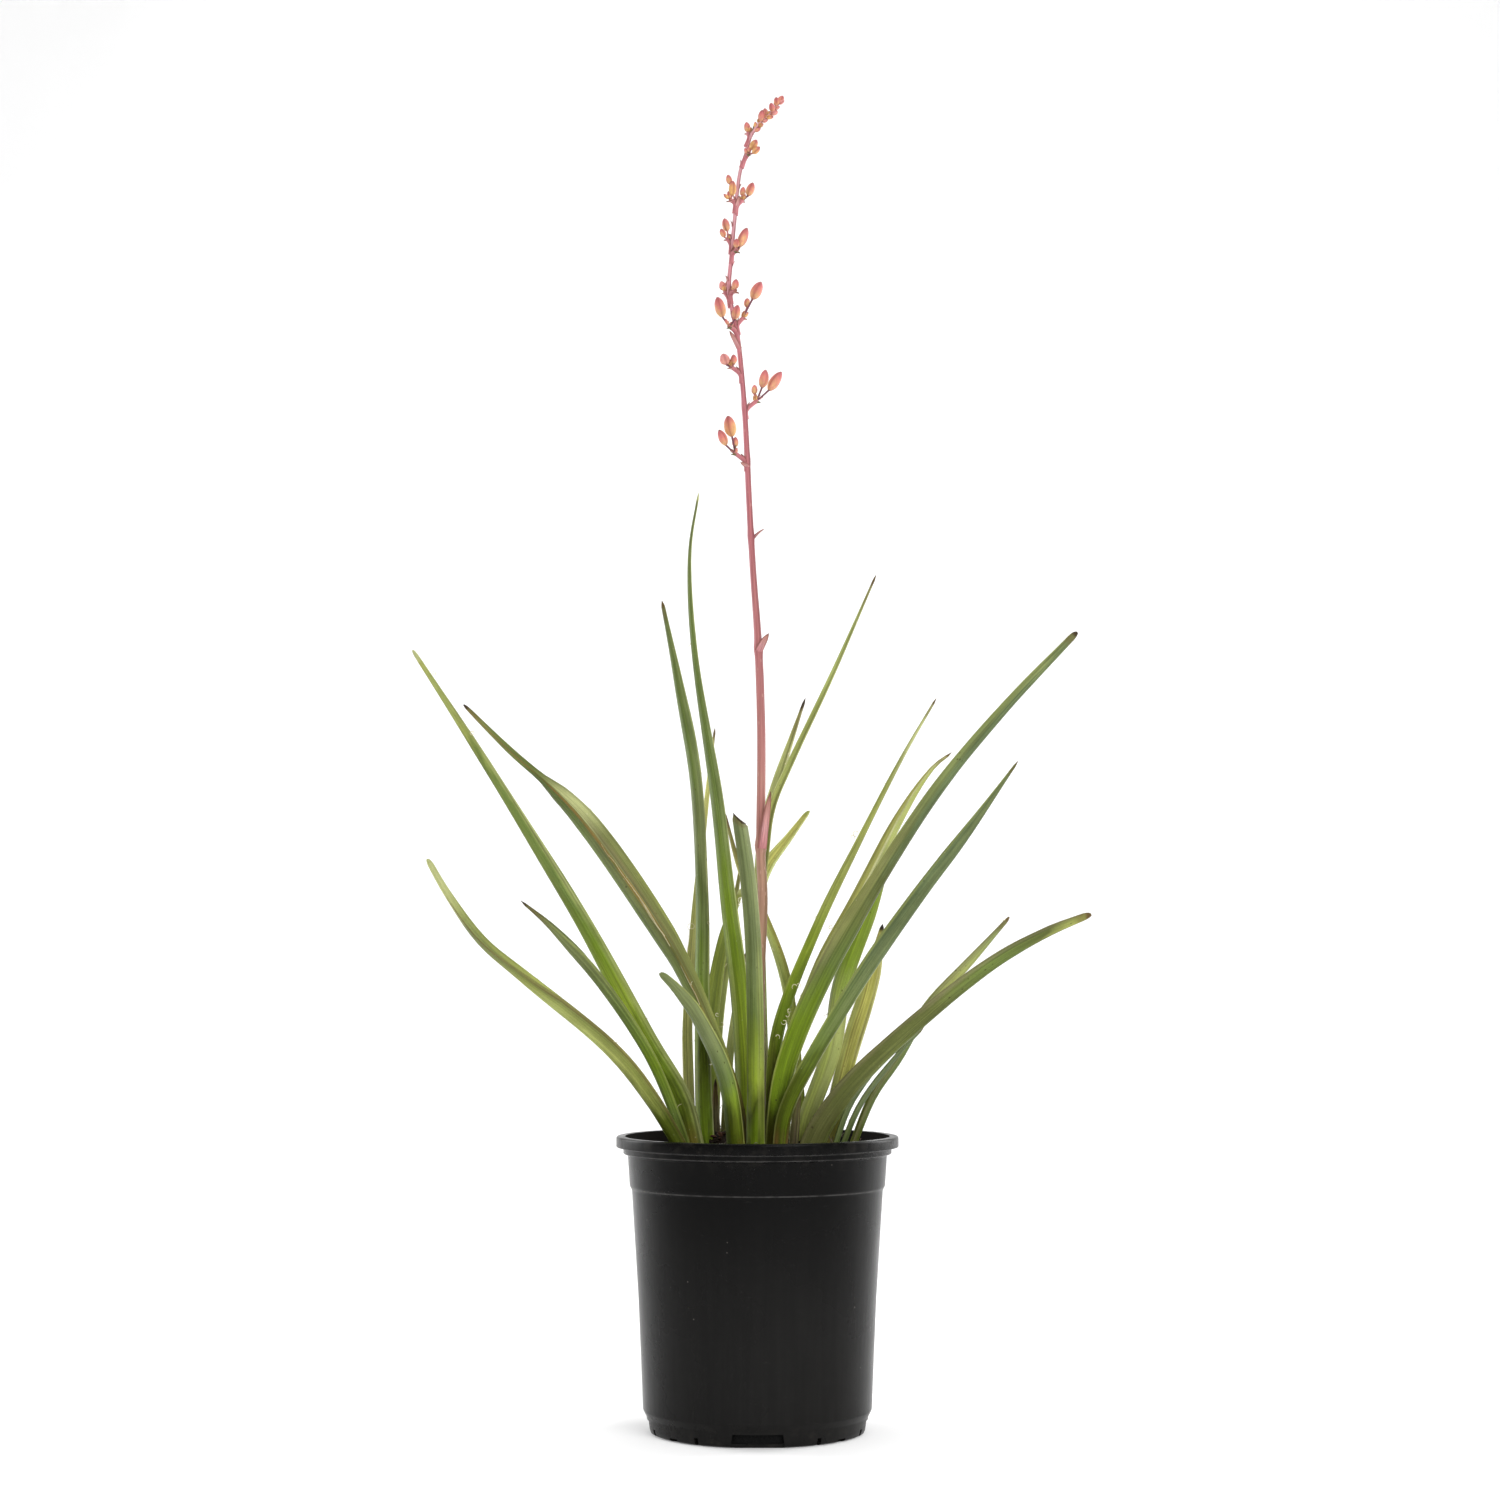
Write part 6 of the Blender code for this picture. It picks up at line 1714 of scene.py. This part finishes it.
def pot_skin():
    """Black moulded plastic: a soft sheen, faint draw lines and scuffs, dust at the rim and steps, painted
    shade over the upper pot and thin painted highlight lines at the steps.
    """
    paint = Paint("skin_pot")
    _, _, z = paint.place()
    broad = paint.mottle(16.0, detail=4.0)
    peel = paint.mottle(950.0, detail=2.0)
    drawn = paint.mottle(stretch=(260.0, 260.0, 5.0))
    scuffs = paint.mottle(stretch=(90.0, 90.0, 420.0), detail=5.0, rough=0.7)
    dusty = paint.mottle(120.0, detail=6.0, rough=0.65)
    colour = paint.ramp(broad, POT_RUN)
    # Painted shade: the plastic darkens from the lower body up to the rim band, so the foot reads lighter
    colour = paint.lay(colour, POT_PAINTED_SHADE, paint.band(z, 0.055, 0.150))
    colour = paint.shade(colour, drawn, 0.9, 1.1)
    rubbed = paint.times(paint.band(scuffs, 0.62, 0.74), paint.band(broad, 0.45, 0.6), 0.25)
    colour = paint.lay(colour, POT_RUBBED, rubbed)
    dust_high = paint.band(z, 0.150, 0.172, 0.0, 0.55)
    dust_low = paint.band(z, 0.016, 0.002, 0.0, 0.7)
    dust = paint.times(paint.math("ADD", dust_high, dust_low), paint.band(dusty, 0.46, 0.70))
    colour = paint.lay(colour, POT_DUST, dust, 0.3)
    # Thin painted highlight lines at the pot's steps, broken up by noise
    highlight_strength = paint.band(dusty, 0.3, 0.6, 0.25, 0.8)
    for level in PAINTED_HIGHLIGHT_LINES:
        line = paint.within(z, level - HIGHLIGHT_HALF, level + HIGHLIGHT_HALF, HIGHLIGHT_SOFT)
        colour = paint.lay(colour, POT_PAINTED_HIGHLIGHT, line, highlight_strength)
    specks = paint.cells(paint.vector(*paint.place()), 62.0)
    colour = paint.lay(colour, POT_SPECK, paint.band(specks, 0.036, 0.02), 0.6)
    rough = paint.band(broad, 0.3, 0.7, 0.24, 0.31)
    for duller in (dust, rubbed):
        rough = paint.math("ADD", rough, paint.times(duller, 0.3))
    return paint.finish(colour, rough, ((peel, 0.00003), (drawn, 0.00005), (broad, 0.0006)), 0.08)


def ground_waves():
    """The seeded long and short waves of the soil's surface."""
    draw = random.Random(SEED)
    waves = []
    for _ in range(WAVE_COUNT):
        angle = draw.uniform(0, math.tau)
        pitch = draw.uniform(*WAVE_PITCHES)
        shift = draw.uniform(0, math.tau)
        waves.append((math.cos(angle) / pitch, math.sin(angle) / pitch, shift, pitch / WAVE_PITCHES[1]))
    return waves


def soil_level(x, y, level=SOIL_EDGE):
    """The height of the soil's surface at a place."""
    if level < SOIL_EDGE - 1:
        return level
    mound = SOIL_MOUND * math.exp(-((x / MOUND_REACH[0]) ** 2 + (y / MOUND_REACH[1]) ** 2))
    hump_x, hump_y, hump, reach = SOIL_HUMP
    mound += hump * math.exp(-((x - hump_x) ** 2 + (y - hump_y) ** 2) / reach ** 2)
    rough = sum(math.sin(x * a + y * b + shift) * size for a, b, shift, size in WAVES)
    return SOIL_EDGE + mound + rough * SOIL_ROUGHNESS / 4


def twenty_sided():
    """The corners and faces of a regular solid of twenty triangles."""
    golden = (1 + 5 ** 0.5) / 2
    corners = []
    for a in (-1, 1):
        for b in (-golden, golden):
            corners += [Vector((0, a, b)), Vector((a, b, 0)), Vector((b, 0, a))]
    faces = []
    for i, j, k in combinations(range(len(corners)), 3):
        first, second, third = corners[i], corners[j], corners[k]
        if max((first - second).length, (second - third).length, (third - first).length) < LONGEST_EDGE:
            outward = (second - first).cross(third - first)
            faces.append((i, j, k) if outward.dot(first) > 0 else (i, k, j))
    return corners, faces


def lump(centre, size, flat, draw):
    """The points of one broken bit of bark or grit, a dented solid of twenty triangles."""
    turn = Matrix.Rotation(draw.uniform(0, math.tau), 3, "Z")
    for axis in ("X", "Y"):
        turn = turn @ Matrix.Rotation(draw.gauss(0, CHUNK_TILT), 3, axis)
    stretch = Vector((1.0, draw.uniform(*CHUNK_WIDTHS), flat))
    points = []
    for corner in LUMP_CORNERS:
        spot = corner.normalized() * draw.uniform(*CHUNK_DENTS)
        points.append(centre + turn @ (spot * stretch) * size)
    return points


def fibre(spot, heading, edge, draw):
    """The points of a root fibre that wanders over the soil from a spot, within the pot."""
    line = [spot]
    for _ in range(draw.randrange(*FIBRE_STEPS)):
        heading = (heading + Vector([draw.gauss(0, FIBRE_BEND) for _ in range(3)])).normalized()
        spot = spot + heading * FIBRE_STEP
        reach = math.hypot(spot.x, spot.y)
        if reach > edge - 1:
            spot = Vector((spot.x * (edge - 1) / reach, spot.y * (edge - 1) / reach, spot.z))
        spot.z = max(spot.z, soil_level(spot.x, spot.y) + FIBRE_CLEAR)
        line.append(spot.copy())
    return line


def soil():
    """The potting mix: its filled body, and bark, grit and root fibres strewn on its surface."""
    draw = random.Random(SOIL_SEED)
    levels = (FLOOR + SOIL_GAP, FOOT_TOP, BODY_MIDDLE, BODY_TOP, SOIL_EDGE - 2)
    profile = [(0.0, levels[0])]
    profile += [(inner_radius(level) - SOIL_GAP, level) for level in levels]
    edge = inner_radius(SOIL_EDGE) - SOIL_EDGE_GAP
    profile += [(edge * (1 - ring / SOIL_RINGS), SOIL_EDGE) for ring in range(SOIL_RINGS)]
    profile.append((0.0, SOIL_EDGE))
    points, faces = turned(profile, SOIL_SEGMENTS, soil_level)
    bundle = Bundle()
    bundle.add(points, faces, [(0.0, 0.0, 0.0)] * len(points), [0.25] * len(points))
    small, large = CHUNK_SIZES
    for _ in range(CHUNK_COUNT):
        radius = edge * math.sqrt(draw.random()) * CHUNK_REACH
        angle = draw.uniform(0, math.tau)
        size = small + (large - small) * draw.random() ** 3
        if radius + size > edge:
            continue
        x, y = radius * math.cos(angle), radius * math.sin(angle)
        centre = Vector((x, y, soil_level(x, y) + size * draw.uniform(*CHUNK_LIFTS)))
        points = lump(centre, size, draw.uniform(*CHUNK_HEIGHTS), draw)
        pale = 1.0 if draw.random() < GRIT_SHARE and size < GRIT_SIZE else 0.0
        bundle.add(points, LUMP_FACES, [(1.0, pale, 0.0)] * len(points), [draw.random()] * len(points))
    for _ in range(FIBRE_COUNT):
        radius = edge * math.sqrt(draw.random()) * FIBRE_REACH
        angle = draw.uniform(0, math.tau)
        heading = Vector((math.cos(angle * 5), math.sin(angle * 5), draw.uniform(0.0, 0.5))).normalized()
        x, y = radius * math.cos(angle), radius * math.sin(angle)
        line = fibre(Vector((x, y, soil_level(x, y) + FIBRE_LIFT)), heading, edge, draw)
        points, faces, _ = tube(line, [draw.uniform(*FIBRE_RADII)] * len(line), FIBRE_SIDES)
        bundle.add(points, faces, [(1.0, 0.5, 0.0)] * len(points), [draw.random()] * len(points))
    bundle.piece("soil_bed", [soil_skin()], ("soil",), sharp=35)


def soil_skin():
    """Damp bark mix: near black to red-brown, with pale grit and fibres, and painted shade on its buried body
    low in the pot.
    """
    paint = Paint("skin_soil")
    _, pale, _ = paint.attribute("mark")
    _, _, z = paint.place()
    fine = paint.mottle(900.0, detail=5.0, rough=0.7)
    broad = paint.mottle(90.0)
    level = paint.math("ADD", paint.number("tone"), paint.band(fine, 0.3, 0.7, -0.15, 0.15))
    colour = paint.lay(paint.ramp(level, SOIL_RUN), GRIT, paint.band(pale, 0.2, 0.9, 0.0, 0.9))
    colour = paint.shade(colour, fine, 0.7, 1.35)
    colour = paint.shade(colour, broad, 0.8, 1.2)
    # Painted shade: the buried body of the mix below its surface is made near black
    colour = paint.lay(colour, SOIL_PAINTED_SHADE, paint.band(z, 0.135, 0.150, 1.0, 0.0))
    return paint.finish(colour, paint.band(fine, 0.3, 0.7, 0.62, 0.95), ((fine, 0.0006),), 0.12)


def sweep():
    """The pale floor that curves up into a backdrop."""
    line = [(SWEEP_FRONT, 0.0), (SWEEP_BEND, 0.0)]
    for step in range(1, SWEEP_STEPS + 1):
        angle = math.pi / 2 * step / SWEEP_STEPS
        depth = SWEEP_BEND + SWEEP_RADIUS * math.sin(angle)
        line.append((depth, SWEEP_RADIUS - SWEEP_RADIUS * math.cos(angle)))
    line.append((SWEEP_BEND + SWEEP_RADIUS, SWEEP_TOP))
    points, faces = [], []
    for depth, height in line:
        points.extend([(-SWEEP_HALF, depth, height), (SWEEP_HALF, depth, height)])
    for row in range(len(line) - 1):
        faces.append((2 * row, 2 * row + 1, 2 * row + 3, 2 * row + 2))
    mesh = bpy.data.meshes.new("studio_sweep")
    mesh.from_pydata(points, [], faces)
    mesh.shade_smooth()
    paint = Paint("sweep_white")
    colour = paint.shade([SWEEP_SHADE] * 3, paint.mottle(3.0), 0.99, 1.0)
    mesh.materials.append(paint.finish(colour, 0.9, (), 0.1))
    paint.shader.inputs["Emission Color"].default_value = (1.0, 1.0, 1.0, 1.0)
    paint.shader.inputs["Emission Strength"].default_value = SWEEP_GLOW
    return linked("studio_sweep", mesh)


def stage():
    """The sweep that the pot stands on, the soft lights and the camera."""
    floor = sweep()
    for name, spot, aim, size, power in LIGHTS:
        light = bpy.data.lights.new(name, "AREA")
        light.shape = "RECTANGLE"
        light.size, light.size_y = size
        light.energy = power
        lamp = linked(name, light)
        lamp.location = spot
        lamp.rotation_euler = (Vector(aim) - Vector(spot)).to_track_quat("-Z", "Y").to_euler()
    world = bpy.data.worlds.new("studio")
    world.use_nodes = True
    backing = world.node_tree.nodes["Background"]
    backing.inputs["Color"].default_value = (1.0, 1.0, 1.0, 1.0)
    backing.inputs["Strength"].default_value = WORLD_STRENGTH
    bpy.context.scene.world = world
    lens = bpy.data.cameras.new("camera")
    lens.lens = CAMERA_LENS
    lens.sensor_width = CAMERA_SENSOR
    camera = linked("camera", lens)
    camera.location = EYE * MM
    camera.rotation_euler = (math.radians(CAMERA_TILT), 0.0, 0.0)
    bpy.context.scene.camera = camera
    bpy.context.scene.view_settings.view_transform = "Standard"


def main():
    """Build the pot, the soil and every leaf, thread, scale and bud."""
    pot()
    soil()
    edges = {}
    for index, spec in enumerate(LEAVES):
        leaf(index, spec, edges)
    threads(edges)
    stalk()
    for index, spec in enumerate(SPRAYS):
        spray(index, spec)
    stage()


STALK_LINE = stalk_curve()
STALK_LENGTH = path_length(STALK_LINE)
WAVES = ground_waves()
LUMP_CORNERS, LUMP_FACES = twenty_sided()
SKINS = {"stem": stem_skin(), "scale": scale_skin(), "bud": bud_skin()}
main()
